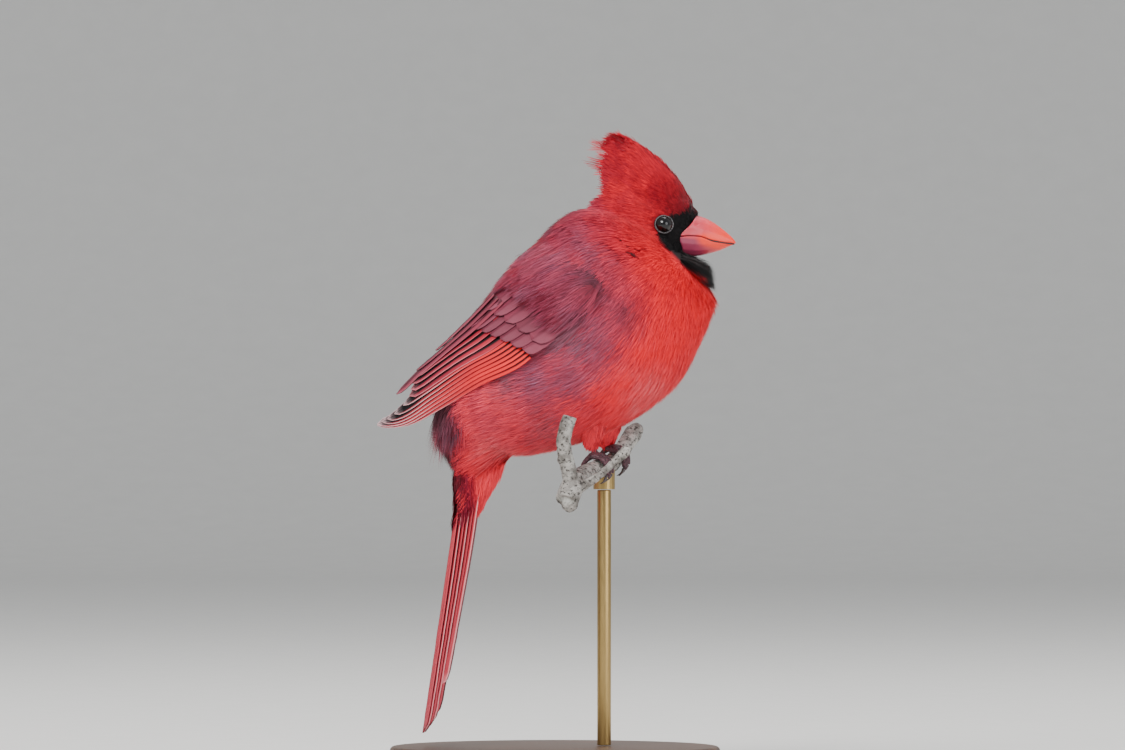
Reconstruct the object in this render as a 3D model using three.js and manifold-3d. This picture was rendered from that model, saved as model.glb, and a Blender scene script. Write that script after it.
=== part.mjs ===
// A life-size male northern cardinal, fluffed against the cold, gripping a cut length of twig on a display stand.
// Millimetres. +X is where the bill points, +Y is the bird's left, +Z is up, and the stand's underside is z = 0.
import * as THREE from "three";
import { mergeVertices } from "three/addons/utils/BufferGeometryUtils.js";
import Module from "manifold-3d";

const wasm = await Module();
wasm.setup();
const V = (x, y, z) => new THREE.Vector3(x, y, z);

// Driving sizes
const GAP = 0.3;
const BODY_SIDES = 24;
const HEAD_SIDES = 20;
const EYE_RADIUS = 3.6;
const EYE_CENTRE = V(38.6, 10.7, 196.6);
const BILL_LENGTH = 17.5;
const BILL_WIDTH = 11.4;
const BARB_THICKNESS = 0.55;
const TARSUS_RADIUS = 1.15;
const TOE_RADIUS = 1.05;
const TWIG_RADIUS = 3.5;
const BASE_RADIUS = 60;
const BASE_HEIGHT = 9;
const ROD_RADIUS = 2.5;

// Turns rings of points into one closed surface, with a fan over each end.
function closedLoft(rings) {
  const sides = rings[0].length;
  const points = rings.flat();
  const ends = [rings[0], rings[rings.length - 1]].map((ring) =>
    ring.reduce((sum, p) => sum.add(p), V(0, 0, 0)).divideScalar(sides),
  );
  const first = points.length;
  points.push(...ends);
  const faces = [];
  for (let r = 0; r + 1 < rings.length; r++)
    for (let s = 0; s < sides; s++) {
      const a = r * sides + s;
      const b = r * sides + ((s + 1) % sides);
      faces.push([a, b, b + sides], [a, b + sides, a + sides]);
    }
  const last = (rings.length - 1) * sides;
  for (let s = 0; s < sides; s++) {
    const next = (s + 1) % sides;
    faces.push([first, next, s], [first + 1, last + s, last + next]);
  }
  return solidOf(points, faces);
}

// A closed plate between two grids of points that share rows and columns. Both faces are split alike.
function closedPlate(top, bottom) {
  const rows = top.length;
  const columns = top[0].length;
  const points = [...top.flat(), ...bottom.flat()];
  const under = rows * columns;
  const at = (r, c) => r * columns + c;
  const faces = [];
  const wall = (a, b) => faces.push([a, b, b + under], [a, b + under, a + under]);
  for (let r = 0; r + 1 < rows; r++)
    for (let c = 0; c + 1 < columns; c++) {
      const [a, b, d, e] = [at(r, c), at(r, c + 1), at(r + 1, c + 1), at(r + 1, c)];
      faces.push([a, d, b], [a, e, d]);
      faces.push([a + under, b + under, d + under], [a + under, d + under, e + under]);
    }
  for (let c = 0; c + 1 < columns; c++) {
    wall(at(0, c), at(0, c + 1));
    wall(at(rows - 1, c + 1), at(rows - 1, c));
  }
  for (let r = 0; r + 1 < rows; r++) {
    wall(at(r + 1, 0), at(r, 0));
    wall(at(r, columns - 1), at(r + 1, columns - 1));
  }
  return solidOf(points, faces);
}

function solidOf(points, faces) {
  const volume = faces.reduce((sum, [a, b, c]) => {
    const normal = points[b].clone().cross(points[c]);
    return sum + points[a].dot(normal);
  }, 0);
  const turned = volume < 0 ? faces.map(([a, b, c]) => [a, c, b]) : faces;
  return new wasm.Manifold(
    new wasm.Mesh({
      numProp: 3,
      vertProperties: new Float32Array(points.flatMap((p) => p.toArray())),
      triVerts: new Uint32Array(turned.flat()),
    }),
  );
}

function solidFromGeometry(geometry) {
  const bare = geometry.clone();
  bare.deleteAttribute("normal");
  bare.deleteAttribute("uv");
  const merged = mergeVertices(bare, 1e-3);
  return new wasm.Manifold(
    new wasm.Mesh({
      numProp: 3,
      vertProperties: merged.attributes.position.array,
      triVerts: new Uint32Array(merged.index.array),
    }),
  );
}

const union = (solids) => wasm.Manifold.union(solids);
const mirrored = (solid) => solid.mirror([0, 1, 0]);
const MERGE_MM = 0.04;

// The largest closed surface of a solid, with slivers from the cuts collapsed.
function largest(solid) {
  const pieces = solid.asOriginal().simplify(MERGE_MM).decompose();
  return pieces.reduce((best, piece) => (piece.volume() > best.volume() ? piece : best));
}

// A smooth run through values given at the whole numbers 0, 1, 2, ...
function through(values) {
  const curve = new THREE.CatmullRomCurve3(
    values.map((v, i) => (Array.isArray(v) ? V(v[0], i, v[1]) : V(v, i, 0))),
    false,
    "catmullrom",
    0.5,
  );
  const top = values.length - 1;
  return (s) => curve.getPoint(THREE.MathUtils.clamp(s / top, 0, 1));
}

// A skin around stations that each give a back point [x, z], a belly point [x, z] and a half width.
function skinOf(stations) {
  const back = through(stations.map((s) => s.back));
  const belly = through(stations.map((s) => s.belly));
  const width = through(stations.map((s) => s.half));
  return {
    top: stations.length - 1,
    // angle 0 is the back, a quarter turn the bird's left side, a half turn the belly
    point(s, angle, grow = 0) {
      const b = back(s);
      const v = belly(s);
      const middle = V((b.x + v.x) / 2, 0, (b.z + v.z) / 2);
      const reach = V((b.x - v.x) / 2, 0, (b.z - v.z) / 2);
      const height = reach.length() + grow;
      reach.normalize();
      return middle
        .addScaledVector(reach, Math.cos(angle) * height)
        .add(V(0, Math.sin(angle) * (width(s).x + grow), 0));
    },
  };
}

function skinSolid(skin, from, to, steps, sides, grow = 0) {
  const rings = [];
  for (let i = 0; i <= steps; i++) {
    const s = from + ((to - from) * i) / steps;
    const ring = [];
    for (let k = 0; k < sides; k++) ring.push(skin.point(s, (2 * Math.PI * k) / sides, grow));
    rings.push(ring);
  }
  return closedLoft(rings);
}

// Body: stations from the tail joint forward to the collar round the head
const body = skinOf([
  { back: [-38.9, 115.6], belly: [-19.8, 105.5], half: 11 },
  { back: [-42.3, 131.8], belly: [-11.9, 113.8], half: 21 },
  { back: [-38.2, 149.4], belly: [0.4, 115.6], half: 28 },
  { back: [-31.0, 163.1], belly: [16.2, 120.6], half: 32 },
  { back: [-20.6, 176.4], belly: [33.1, 129.6], half: 33.5 },
  { back: [-9.8, 188.0], belly: [47.0, 143.5], half: 32.5 },
  { back: [0.5, 197.6], belly: [54.7, 159.8], half: 29.5 },
  { back: [7.6, 202.2], belly: [57.0, 171.0], half: 25 },
  { back: [14.0, 204.6], belly: [54.8, 176.8], half: 20 },
  { back: [20.5, 203.5], belly: [50.5, 183.4], half: 12.5 },
]);
const NECK_FROM = 6.35;
const BODY_RINGS = 20;
const bodyWhole = skinSolid(body, 0, body.top, BODY_RINGS, BODY_SIDES);
const bodyGrown = skinSolid(body, -0.02, body.top, BODY_RINGS, BODY_SIDES, GAP + 0.1);

// Head: stations from the nape forward to the root of the bill
const head = skinOf([
  { back: [15.5, 205.5], belly: [16.5, 192.5], half: 6 },
  { back: [19.5, 211.0], belly: [20.0, 184.5], half: 11.4 },
  { back: [27.5, 215.2], belly: [27.0, 180.6], half: 13.8 },
  { back: [36.5, 214.6], belly: [34.0, 179.8], half: 13.8 },
  { back: [43.0, 211.2], belly: [39.5, 181.2], half: 12.4 },
  { back: [48.0, 206.8], belly: [43.4, 183.4], half: 9.8 },
  { back: [51.6, 201.6], belly: [46.0, 186.0], half: 6.4 },
]);
const HEAD_RINGS = 12;
const headBall = skinSolid(head, 0, head.top, HEAD_RINGS, HEAD_SIDES);
const headGrown = skinSolid(head, -0.05, head.top, HEAD_RINGS, HEAD_SIDES, GAP);

function neckPlane() {
  const a = body.point(NECK_FROM, 0);
  const b = body.point(NECK_FROM, Math.PI);
  const along = b.clone().sub(a).normalize();
  const normal = V(-along.z, 0, along.x);
  return { normal, offset: normal.dot(a) };
}
const { normal: neckNormal, offset: neckOffset } = neckPlane();
const forward = neckNormal.x > 0 ? neckNormal : neckNormal.clone().negate();
const forwardOffset = neckNormal.x > 0 ? neckOffset : -neckOffset;
const inFront = forward.toArray();
const behind = forward.clone().negate().toArray();

// A vane: a thin tapered blade of two webs that meet on its shaft.
// path(t) is the shaft, lift(t) the outward direction, half(t) the half width, roll the turn about the shaft.
function vane({ path, lift, half, roll = 0, camber = 0.12, thickness = BARB_THICKNESS, steps = 4, webs = 1 }) {
  const top = [];
  const bottom = [];
  for (let i = 0; i <= steps; i++) {
    const t = i / steps;
    const here = path(t);
    const along = path(Math.min(t + 0.02, 1.02))
      .sub(path(t - 0.02))
      .normalize();
    const out = lift(t).clone();
    out.addScaledVector(along, -out.dot(along)).normalize();
    out.applyAxisAngle(along, roll);
    const across = along.clone().cross(out).normalize();
    const w = half(t);
    const thick = (thickness / 2) * (t > 0.99 ? 0.5 : 1);
    const rows = (webs > 1 ? [-1, 0, 1] : [-1, 1]).map((side) =>
      here
        .clone()
        .addScaledVector(across, side * w)
        .addScaledVector(out, webs > 1 ? -Math.abs(side) * w * camber : 0),
    );
    top.push(rows.map((p) => p.clone().addScaledVector(out, thick)));
    bottom.push(rows.map((p) => p.clone().addScaledVector(out, -thick)));
  }
  return closedPlate(top, bottom);
}

// Half width of a feather along its shaft: narrow at the root, widest past the middle, rounded or pointed at the tip.
function bladeWidth(widest, tip = 0.25) {
  return (t) => {
    const swell = 0.55 + 0.45 * Math.sin(Math.min(t / 0.6, 1) * (Math.PI / 2));
    const close = t < 0.7 ? 1 : tip + (1 - tip) * Math.sqrt(Math.max(0, 1 - ((t - 0.7) / 0.3) ** 2));
    return widest * swell * close;
  };
}

const lerp = THREE.MathUtils.lerp;
const degrees = THREE.MathUtils.degToRad;

// Torso, with the ragged rump feathers that hang behind the vent
function torsoSolid() {
  const trunk = bodyWhole.trimByPlane(behind, -forwardOffset + GAP / 2);
  const feathers = [];
  const RUMP_FEATHERS = 9;
  for (let i = 0; i < RUMP_FEATHERS; i++) {
    const share = i / (RUMP_FEATHERS - 1);
    const angle = degrees(lerp(-62, 62, share));
    const root = body.point(1.35, angle, -1.6);
    const length = 22 + 3.5 * Math.cos(angle) - (i % 2) * 3;
    const tip = root.clone().add(V(-3.4 * Math.cos(angle), Math.sin(angle) * 1.5, -length));
    const middle = root.clone().lerp(tip, 0.45).add(V(-3.6 * Math.cos(angle), 2.6 * Math.sin(angle), 0));
    const curve = new THREE.QuadraticBezierCurve3(root, middle, tip);
    const out = V(-Math.cos(angle), Math.sin(angle), 0.1);
    feathers.push(
      vane({
        path: (t) => curve.getPoint(t),
        lift: () => out,
        half: bladeWidth(2.9, 0.15),
        steps: 3,
        thickness: 0.7,
      }),
    );
  }
  return largest(union([trunk, ...feathers]).subtract(headGrown));
}

// Neck: the collar of the body skin in front of the torso, hollowed for the head to sit in
function neckSolid() {
  const collar = bodyWhole.trimByPlane(inFront, forwardOffset + GAP / 2);
  return largest(collar.subtract(union([headGrown, billGrown, ...bibVanes(GAP)])));
}

// Crest: a wedge over the crown, from the forehead's front edge to the nape's rear edge
const crestFront = through([
  [51.2, 200.6],
  [48.2, 208.4],
  [42.2, 216.0],
  [34.2, 223.0],
  [26.8, 228.2],
  [18.6, 230.6],
]);
const crestRear = through([
  [14.8, 203.0],
  [15.2, 209.0],
  [15.8, 215.5],
  [16.5, 221.0],
  [17.0, 226.5],
  [17.6, 230.2],
]);
const crestHalf = through([11.6, 11.4, 9.2, 6.2, 3.3, 1.0]);
const CREST_TOP = 5;
// h runs up the crest from 0 to 1, q from the front edge at 0 to the rear edge at 1
function crestPoint(h, q, side, grow = 0) {
  const f = crestFront(h * CREST_TOP);
  const r = crestRear(h * CREST_TOP);
  const round = Math.sqrt(Math.max(0, 1 - Math.abs(2 * q - 1) ** 2.6));
  return V(lerp(f.x, r.x, q), side * (crestHalf(h * CREST_TOP).x * round + grow), lerp(f.z, r.z, q));
}

function crestSolid() {
  const rings = [];
  const CORE_STEPS = 3;
  const CORE_REACH = 0.5;
  const SIDE_POINTS = 8;
  for (let i = 0; i <= CORE_STEPS; i++) {
    const h = (CORE_REACH * i) / CORE_STEPS;
    const shrink = 0.93;
    const ring = [];
    for (const side of [1, -1])
      for (let k = 0; k < SIDE_POINTS; k++) {
        const share = side > 0 ? k / SIDE_POINTS : 1 - k / SIDE_POINTS;
        const q = 0.5 - 0.5 * Math.cos(Math.PI * share);
        const p = crestPoint(h, lerp(0.5, q, shrink), side);
        p.y *= shrink;
        ring.push(p);
      }
    rings.push(ring);
  }
  const core = closedLoft(rings);
  const feathers = [];
  const ROWS = 5;
  for (let row = 0; row < ROWS; row++) {
    const share = row / (ROWS - 1);
    const rear = 1.02 - 0.16 * (row % 2);
    const tipHeight = lerp(1, 0.26, share);
    for (const side of row ? [1, -1] : [0]) {
      for (const [set, start] of (row ? [0, 0.34] : [0, 0.2, 0.42]).entries()) {
        const from = { h: lerp(0.06, 0.02, share), q: lerp(0.02, 0.62, share) + start * (1 - share * 0.5) };
        const to = { h: tipHeight - set * 0.05, q: rear };
        const path = (t) => {
          const bow = Math.sin(Math.PI * Math.min(Math.max(t, 0), 1)) * 0.04;
          const h = lerp(from.h, to.h, t) + bow;
          const q = lerp(from.q, to.q, Math.max(t, 0) ** lerp(5, 1.2, share));
          return crestPoint(Math.min(h, 1), THREE.MathUtils.clamp(q, 0.02, 1.1), side, 0.2 - 0.5 * set);
        };
        const out = V(0.25 * (1 - share), side || 0, side ? 0.35 : 1);
        if (!side) out.set(0.6, 0, 0.8);
        feathers.push(
          vane({ path, lift: () => out, half: bladeWidth(row ? 2.7 : 3.0, 0.15), steps: row ? 3 : 4, thickness: 0.8 }),
        );
      }
    }
  }
  return largest(union([core, ...feathers]).subtract(headGrown).subtract(bodyGrown));
}

// Bill: a deep cone split along the line of the mouth
const billRoot = V(48.7, 0, 193.9);
const billTip = V(65.1, 0, 190.0);
const billStations = [
  { back: [50.4, 200.6], belly: [45.4, 185.6], half: BILL_WIDTH / 2 },
  { back: [53.8, 199.3], belly: [50.0, 185.3], half: BILL_WIDTH * 0.47 },
  { back: [57.6, 197.2], belly: [54.6, 186.0], half: BILL_WIDTH * 0.38 },
  { back: [61.4, 194.3], belly: [59.4, 187.4], half: BILL_WIDTH * 0.25 },
  { back: [64.0, 191.9], belly: [63.2, 189.1], half: BILL_WIDTH * 0.11 },
  { back: [65.2, 190.3], belly: [65.0, 189.7], half: 0.25 },
];
const bill = skinOf(billStations);
const billWhole = skinSolid(bill, 0, bill.top, 10, 16);
const billGrown = skinSolid(skinOf([
  { back: [46.4, 202.0], belly: [41.4, 187.0], half: BILL_WIDTH / 2 },
  ...billStations,
]), 0, bill.top + 1, 12, 16, GAP);

// The mouth line falls from the gape, rises over the middle and runs down to the tip.
function mouthCut() {
  const line = new THREE.SplineCurve([
    new THREE.Vector2(44, 189.2),
    new THREE.Vector2(46.2, 191.2),
    new THREE.Vector2(49.4, 192.6),
    new THREE.Vector2(52.8, 192.3),
    new THREE.Vector2(56.2, 191.0),
    new THREE.Vector2(60.6, 190.2),
    new THREE.Vector2(66.5, 189.6),
  ]);
  const shape = new THREE.Shape();
  const points = line.getPoints(14);
  const DEEP = 14;
  shape.moveTo(points[0].x, points[0].y - DEEP);
  points.forEach((p) => shape.lineTo(p.x, p.y));
  shape.lineTo(points[points.length - 1].x, points[0].y - DEEP);
  const block = new THREE.ExtrudeGeometry(shape, { depth: 30, bevelEnabled: false });
  block.rotateX(Math.PI / 2);
  block.translate(0, 15, 0);
  return solidFromGeometry(block);
}

function nostrils() {
  const NOSTRIL = V(51.9, 3.1, 197.0);
  return [1, -1].map((side) => {
    const pit = new THREE.SphereGeometry(0.75, 8, 6);
    pit.scale(1.3, 1, 0.9);
    pit.translate(NOSTRIL.x, side * (NOSTRIL.y + 1.4), NOSTRIL.z);
    return solidFromGeometry(pit);
  });
}

const underMouth = mouthCut();
function billSolids() {
  const front = billWhole.subtract(headBall.translate([GAP, 0, 0]));
  const upper = front.subtract(underMouth.translate([0, 0, GAP / 2])).subtract(union(nostrils()));
  const lower = front.intersect(underMouth.translate([0, 0, -GAP / 2]));
  return { upper: largest(upper), lower: largest(lower) };
}

// Head: the ball with eye sockets, a lid round each eye, a seat for the bill, and the bristling black bib
const eyeDirection = V(0.28, 0.95, 0.04).normalize();
function lidRing(side) {
  const LID_RADIUS = 3.15;
  const lid = new THREE.TorusGeometry(LID_RADIUS, 0.55, 5, 14);
  const out = V(eyeDirection.x, side * eyeDirection.y, eyeDirection.z);
  lid.applyQuaternion(new THREE.Quaternion().setFromUnitVectors(V(0, 0, 1), out));
  const seat = V(EYE_CENTRE.x, side * EYE_CENTRE.y, EYE_CENTRE.z).addScaledVector(out, 2.75);
  lid.translate(seat.x, seat.y, seat.z);
  return solidFromGeometry(lid);
}

function eyeBall(side, grow) {
  const ball = new THREE.SphereGeometry(EYE_RADIUS + grow, 14, 9);
  ball.translate(EYE_CENTRE.x, side * EYE_CENTRE.y, EYE_CENTRE.z);
  return solidFromGeometry(ball);
}

function bibVanes(grow = 0) {
  const vanes = [];
  const ACROSS = [-5.6, -3.4, -1.2, 1.2, 3.4, 5.6];
  for (const [i, y] of ACROSS.entries()) {
    const spread = Math.abs(y) / 5.6;
    const root = V(46.5 - 2 * spread, y * 0.6, 185.4);
    const tip = V(58.6 - 3.4 * spread - (i % 2), y * 1.15, 176.6 + 1.5 * spread);
    const middle = root.clone().lerp(tip, 0.5).add(V(1.4, y * 0.12, 1.0));
    const curve = new THREE.QuadraticBezierCurve3(root, middle, tip);
    vanes.push(
      vane({
        path: (t) => curve.getPoint(t),
        lift: () => V(0.6, y * 0.08, 0.7),
        half: bladeWidth(2.0 + grow, 0.15 + grow / 2),
        steps: 3,
        thickness: 0.7 + 2 * grow,
      }),
    );
  }
  return vanes;
}

function headSolid() {
  const lids = [1, -1].map((side) => lidRing(side));
  const sockets = [1, -1].map((side) => eyeBall(side, GAP));
  const whole = union([headBall, ...lids, ...bibVanes()]);
  return largest(whole.subtract(union([...sockets, billGrown])));
}

// Wing: feathers laid on a carrier skin that follows the body and then narrows to the wing tip
const carrier = skinOf([
  { back: [-65.0, 126.6], belly: [-62.2, 121.6], half: 4.5 },
  { back: [-58.4, 132.6], belly: [-47.2, 119.4], half: 9.0 },
  { back: [-49.6, 142.2], belly: [-30.6, 123.0], half: 17.0 },
  { back: [-38.6, 152.4], belly: [-11.9, 127.4], half: 27.2 },
  { back: [-28.6, 163.2], belly: [13.3, 124.9], half: 34.0 },
  { back: [-18.4, 174.9], belly: [32.4, 129.2], half: 35.0 },
  { back: [-8.4, 187.0], belly: [47.2, 143.6], half: 34.2 },
  { back: [1.0, 196.8], belly: [54.4, 160.6], half: 31.2 },
]);

function carrierLift(s, angle) {
  const here = carrier.point(s, angle);
  const along = carrier.point(s + 0.05, angle).sub(here);
  const around = carrier.point(s, angle + 0.02).sub(here);
  const out = along.cross(around).normalize();
  const middle = carrier.point(s, 0).lerp(carrier.point(s, Math.PI), 0.5);
  return out.dot(here.clone().sub(middle)) < 0 ? out.negate() : out;
}

// One wing feather, from (s, angle) at its root to its tip on the carrier, rolled like a shingle.
function wingVane({ from, to, high, half, roll = 0.3, steps = 4, sink = 0, tip = 0.2 }) {
  const at = (t) => ({
    s: lerp(from[0], to[0], t),
    a: degrees(lerp(from[1], to[1], t)),
    h: lerp(high[0], high[1], Math.min(Math.max(t, 0), 1)) - sink * Math.max(0, 1 - t * 4),
  });
  const path = (t) => {
    const { s, a, h } = at(t);
    return carrier.point(s, a).addScaledVector(carrierLift(s, a), h);
  };
  const lift = (t) => carrierLift(at(t).s, at(t).a);
  return vane({ path, lift, half: bladeWidth(half, tip), roll, steps });
}

function wingPad() {
  const ROWS = 7;
  const COLUMNS = 5;
  const grid = (height) =>
    Array.from({ length: ROWS + 1 }, (_, r) =>
      Array.from({ length: COLUMNS + 1 }, (_, c) => {
        const u = r / ROWS;
        const v = c / COLUMNS;
        const s = lerp(3.05, 6.5, u);
        const a = degrees(lerp(lerp(15, 30, u * u), lerp(79, 70, u * u), v));
        const swell = Math.sqrt(Math.max(0, 4 * u * (1 - u))) * Math.sqrt(Math.max(0, 4 * v * (1 - v)));
        return carrier.point(s, a).addScaledVector(carrierLift(s, a), height(swell));
      }),
    );
  return closedPlate(
    grid((swell) => 0.7 + 1.9 * swell),
    grid(() => -0.1),
  );
}

function wingFeathers() {
  const feathers = [];
  const PRIMARIES = 8;
  const primaryTips = [1.2, 0.85, 0.55, 0.28, 0.08, 0.0, 0.2, 0.55];
  for (let i = 0; i < PRIMARIES; i++) {
    const share = i / (PRIMARIES - 1);
    feathers.push(
      wingVane({
        from: [lerp(4.0, 4.15, share), lerp(62, 79, share)],
        to: [primaryTips[i], lerp(44, 72, share)],
        high: [1.2, lerp(1.3, 0.6, share)],
        half: lerp(3.3, 2.7, share),
        steps: 4,
        tip: 0.1,
      }),
    );
  }
  const SECONDARIES = 6;
  for (let i = 0; i < SECONDARIES; i++) {
    const share = i / (SECONDARIES - 1);
    feathers.push(
      wingVane({
        from: [lerp(4.25, 4.0, share), lerp(38, 64, share)],
        to: [lerp(1.75, 1.3, share), lerp(30, 50, share)],
        high: [1.5, 1.9],
        half: 3.4,
        steps: 3,
        tip: 0.35,
      }),
    );
  }
  const tertialTips = [2.55, 1.85, 1.05];
  tertialTips.forEach((tip, i) => {
    feathers.push(
      wingVane({
        from: [4.3, 20 + 8 * i],
        to: [tip, 16 + 7 * i],
        high: [2.2 - 0.2 * i, 2.3 - 0.3 * i],
        half: 4.2,
        steps: 4,
        tip: 0.4,
      }),
    );
  });
  // Each covert row: how many, where it roots and ends on the carrier, its spread of angles and half width
  const coverts = [
    { count: 7, from: 4.7, to: 3.35, low: 27, high: 77, half: 4.2, rise: [1.9, 2.9] },
    { count: 6, from: 5.35, to: 4.2, low: 28, high: 74, half: 4.6, rise: [2.3, 3.2] },
    { count: 2, from: 4.9, to: 3.1, low: 76, high: 81, half: 2.4, rise: [1.2, 1.7] },
  ];
  for (const row of coverts)
    for (let i = 0; i < row.count; i++) {
      const share = i / (row.count - 1);
      const angle = lerp(row.low, row.high, share);
      feathers.push(
        wingVane({
          from: [row.from, angle - 1],
          to: [row.to + 0.12 * (i % 2), angle + 1],
          high: row.rise,
          half: row.half,
          steps: 2,
          roll: 0.24,
          tip: 0.45,
        }),
      );
    }
  return feathers;
}

function wingSolid() {
  return largest(union([wingPad(), ...wingFeathers()]).subtract(bodyGrown));
}

// Tail: a root block under the coverts, with twelve flight feathers stacked like a closed fan
const tailRoot = V(-29.6, 0, 110.6);
const tailAlong = V(-0.168, 0, -0.986).normalize();
const tailBack = V(-0.986, 0, 0.168).normalize();
const onTail = (along, back, side) =>
  tailRoot
    .clone()
    .addScaledVector(tailAlong, along)
    .addScaledVector(tailBack, back)
    .add(V(0, side, 0));

function tailSolid() {
  const rootStations = [
    { back: [-38.4, 114.0], belly: [-20.0, 104.4], half: 10 },
    { back: [-38.0, 106.0], belly: [-23.6, 98.0], half: 8.2 },
    { back: [-37.8, 99.0], belly: [-27.4, 94.6], half: 6.6 },
    { back: [-37.6, 93.0], belly: [-31.4, 91.4], half: 4.6 },
  ];
  const root = skinSolid(skinOf(rootStations), 0, 3, 6, 18);
  const feathers = [];
  const PAIRS = 6;
  const ends = [98.4, 98.0, 97.0, 95.6, 92.8, 81.5];
  for (const side of [1, -1])
    for (let i = 0; i < PAIRS; i++) {
      const offset = 1.3 + 1.15 * i;
      const depth = 3.4 - 0.95 * i - (side > 0 ? 0.42 : 0);
      const path = (t) => {
        const along = lerp(8, ends[i], t);
        const spread = offset * lerp(0.45, 1, Math.min(Math.max(t, 0), 1));
        return onTail(along, depth * lerp(1.25, 0.62, Math.min(Math.max(t, 0), 1)) - 0.6, side * spread);
      };
      feathers.push(
        vane({
          path,
          lift: () => tailBack,
          half: bladeWidth(5.2 - 0.12 * i, 0.35),
          roll: side * (0.1 + 0.055 * i),
          camber: 0.1,
          steps: 4,
        }),
      );
    }
  const coverts = [
    { count: 5, reach: 38, back: 7.0, end: 3.6, out: 1, width: 3.2 },
    { count: 5, reach: 27, back: -6.4, end: -4.6, out: -1, width: 3.4 },
  ];
  for (const row of coverts)
    for (let i = 0; i < row.count; i++) {
      const share = i / (row.count - 1) - 0.5;
      const edge = 1 - Math.abs(share) * 1.2;
      const path = (t) =>
        onTail(lerp(3, row.reach * (0.75 + 0.25 * edge), t), lerp(row.back * 0.8, row.end * edge, t), share * 11);
      feathers.push(
        vane({
          path,
          lift: () => tailBack.clone().multiplyScalar(row.out).add(V(0, share * 0.9, 0)),
          half: bladeWidth(row.width, 0.25),
          steps: 3,
          thickness: 0.7,
        }),
      );
    }
  return largest(union([root, ...feathers]).subtract(bodyGrown));
}

// Perch: a knobbly twig cut at both ends, with a cut upright shoot and a short side shoot
function tubeAlong(points, radii, steps, sides) {
  const curve = new THREE.CatmullRomCurve3(points);
  const radius = through(radii);
  const frames = curve.computeFrenetFrames(steps, false);
  const rings = [];
  for (let i = 0; i <= steps; i++) {
    const t = i / steps;
    const r = radius(t * (radii.length - 1)).x;
    const ring = [];
    for (let k = 0; k < sides; k++) {
      const a = (2 * Math.PI * k) / sides;
      ring.push(
        curve
          .getPoint(t)
          .addScaledVector(frames.normals[i], Math.cos(a) * r)
          .addScaledVector(frames.binormals[i], Math.sin(a) * r),
      );
    }
    rings.push(ring);
  }
  return closedLoft(rings);
}

const twigLine = [
  V(4.0, -44, 97.6),
  V(6.5, -40, 103.3),
  V(10.4, -28, 106.7),
  V(14.2, -13, 108.4),
  V(17.4, 0, 109.6),
  V(20.4, 12, 110.8),
  V(24.0, 27, 115.0),
  V(28.6, 38, 121.6),
];
const twig = new THREE.CatmullRomCurve3(twigLine);
const TWIG_STEPS = 18;
const twigRadii = [4.3, 4.5, 3.9, TWIG_RADIUS, TWIG_RADIUS, 3.4, 3.1, 3.5];
function perchSolid() {
  const main = tubeAlong(twigLine, twigRadii, TWIG_STEPS, 10);
  const upright = tubeAlong(
    [V(6.6, -40.5, 101.5), V(4.4, -42.5, 111), V(3.0, -43.5, 119.4), V(5.4, -43.5, 128.0)],
    [3.4, 2.9, 2.8, 2.7],
    6,
    9,
  );
  const shoot = tubeAlong(
    [V(7, -40, 101.6), V(12.8, -42, 104.8), V(19.0, -43, 109.6), V(24.8, -42.5, 115.2)],
    [2.4, 1.8, 1.4, 2.1],
    6,
    8,
  );
  const knobs = [
    { at: V(2.4, -43, 112.5), r: 1.7 },
    { at: V(22.8, 20.5, 116.0), r: 1.9 },
    { at: V(29.4, 38.4, 122.6), r: 2.9 },
    { at: V(25.2, -42.5, 115.6), r: 2.1 },
    { at: V(5.2, -43.4, 96.8), r: 3.2 },
  ].map(({ at, r }) => {
    const knob = new THREE.IcosahedronGeometry(r, 1);
    knob.translate(at.x, at.y, at.z);
    return solidFromGeometry(knob);
  });
  return largest(union([main, upright, shoot, ...knobs]));
}

// Legs: the tarsus comes out of the belly feathers, and three toes go forward and one back round the twig
const footAt = { right: 0.455, left: 0.735 };
function footFrame(name) {
  const t = footAt[name];
  const centre = twig.getPoint(t);
  const along = twig.getTangent(t);
  const up = V(0, 0, 1).addScaledVector(along, -along.z).normalize();
  const ahead = along.clone().cross(up).normalize();
  if (ahead.x < 0) ahead.negate();
  return { centre, along, up, ahead };
}

const TOES = [
  { name: "hind", turn: -1, shift: 0, sweep: 106, splay: 0.0 },
  { name: "inner", turn: 1, shift: -2.9, sweep: 104, splay: -0.9 },
  { name: "middle", turn: 1, shift: 0, sweep: 124, splay: 0 },
  { name: "outer", turn: 1, shift: 2.9, sweep: 108, splay: 0.9 },
];
const TOE_START = 14;
const CLAW_SWEEP = 44;
const toeReach = TWIG_RADIUS + GAP + TOE_RADIUS + 0.12;

// The line of a toe or claw round the twig; angle 0 is on top of it
function toePath(frame, toe, from, to, lift = 0) {
  return (t) => {
    const angle = degrees(lerp(from, to, t));
    const reach = toeReach + lift * t;
    return frame.centre
      .clone()
      .addScaledVector(frame.up, Math.cos(angle) * reach)
      .addScaledVector(frame.ahead, toe.turn * Math.sin(angle) * reach)
      .addScaledVector(frame.along, toe.shift + toe.splay * (angle / Math.PI) * 1.5);
  };
}

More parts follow.
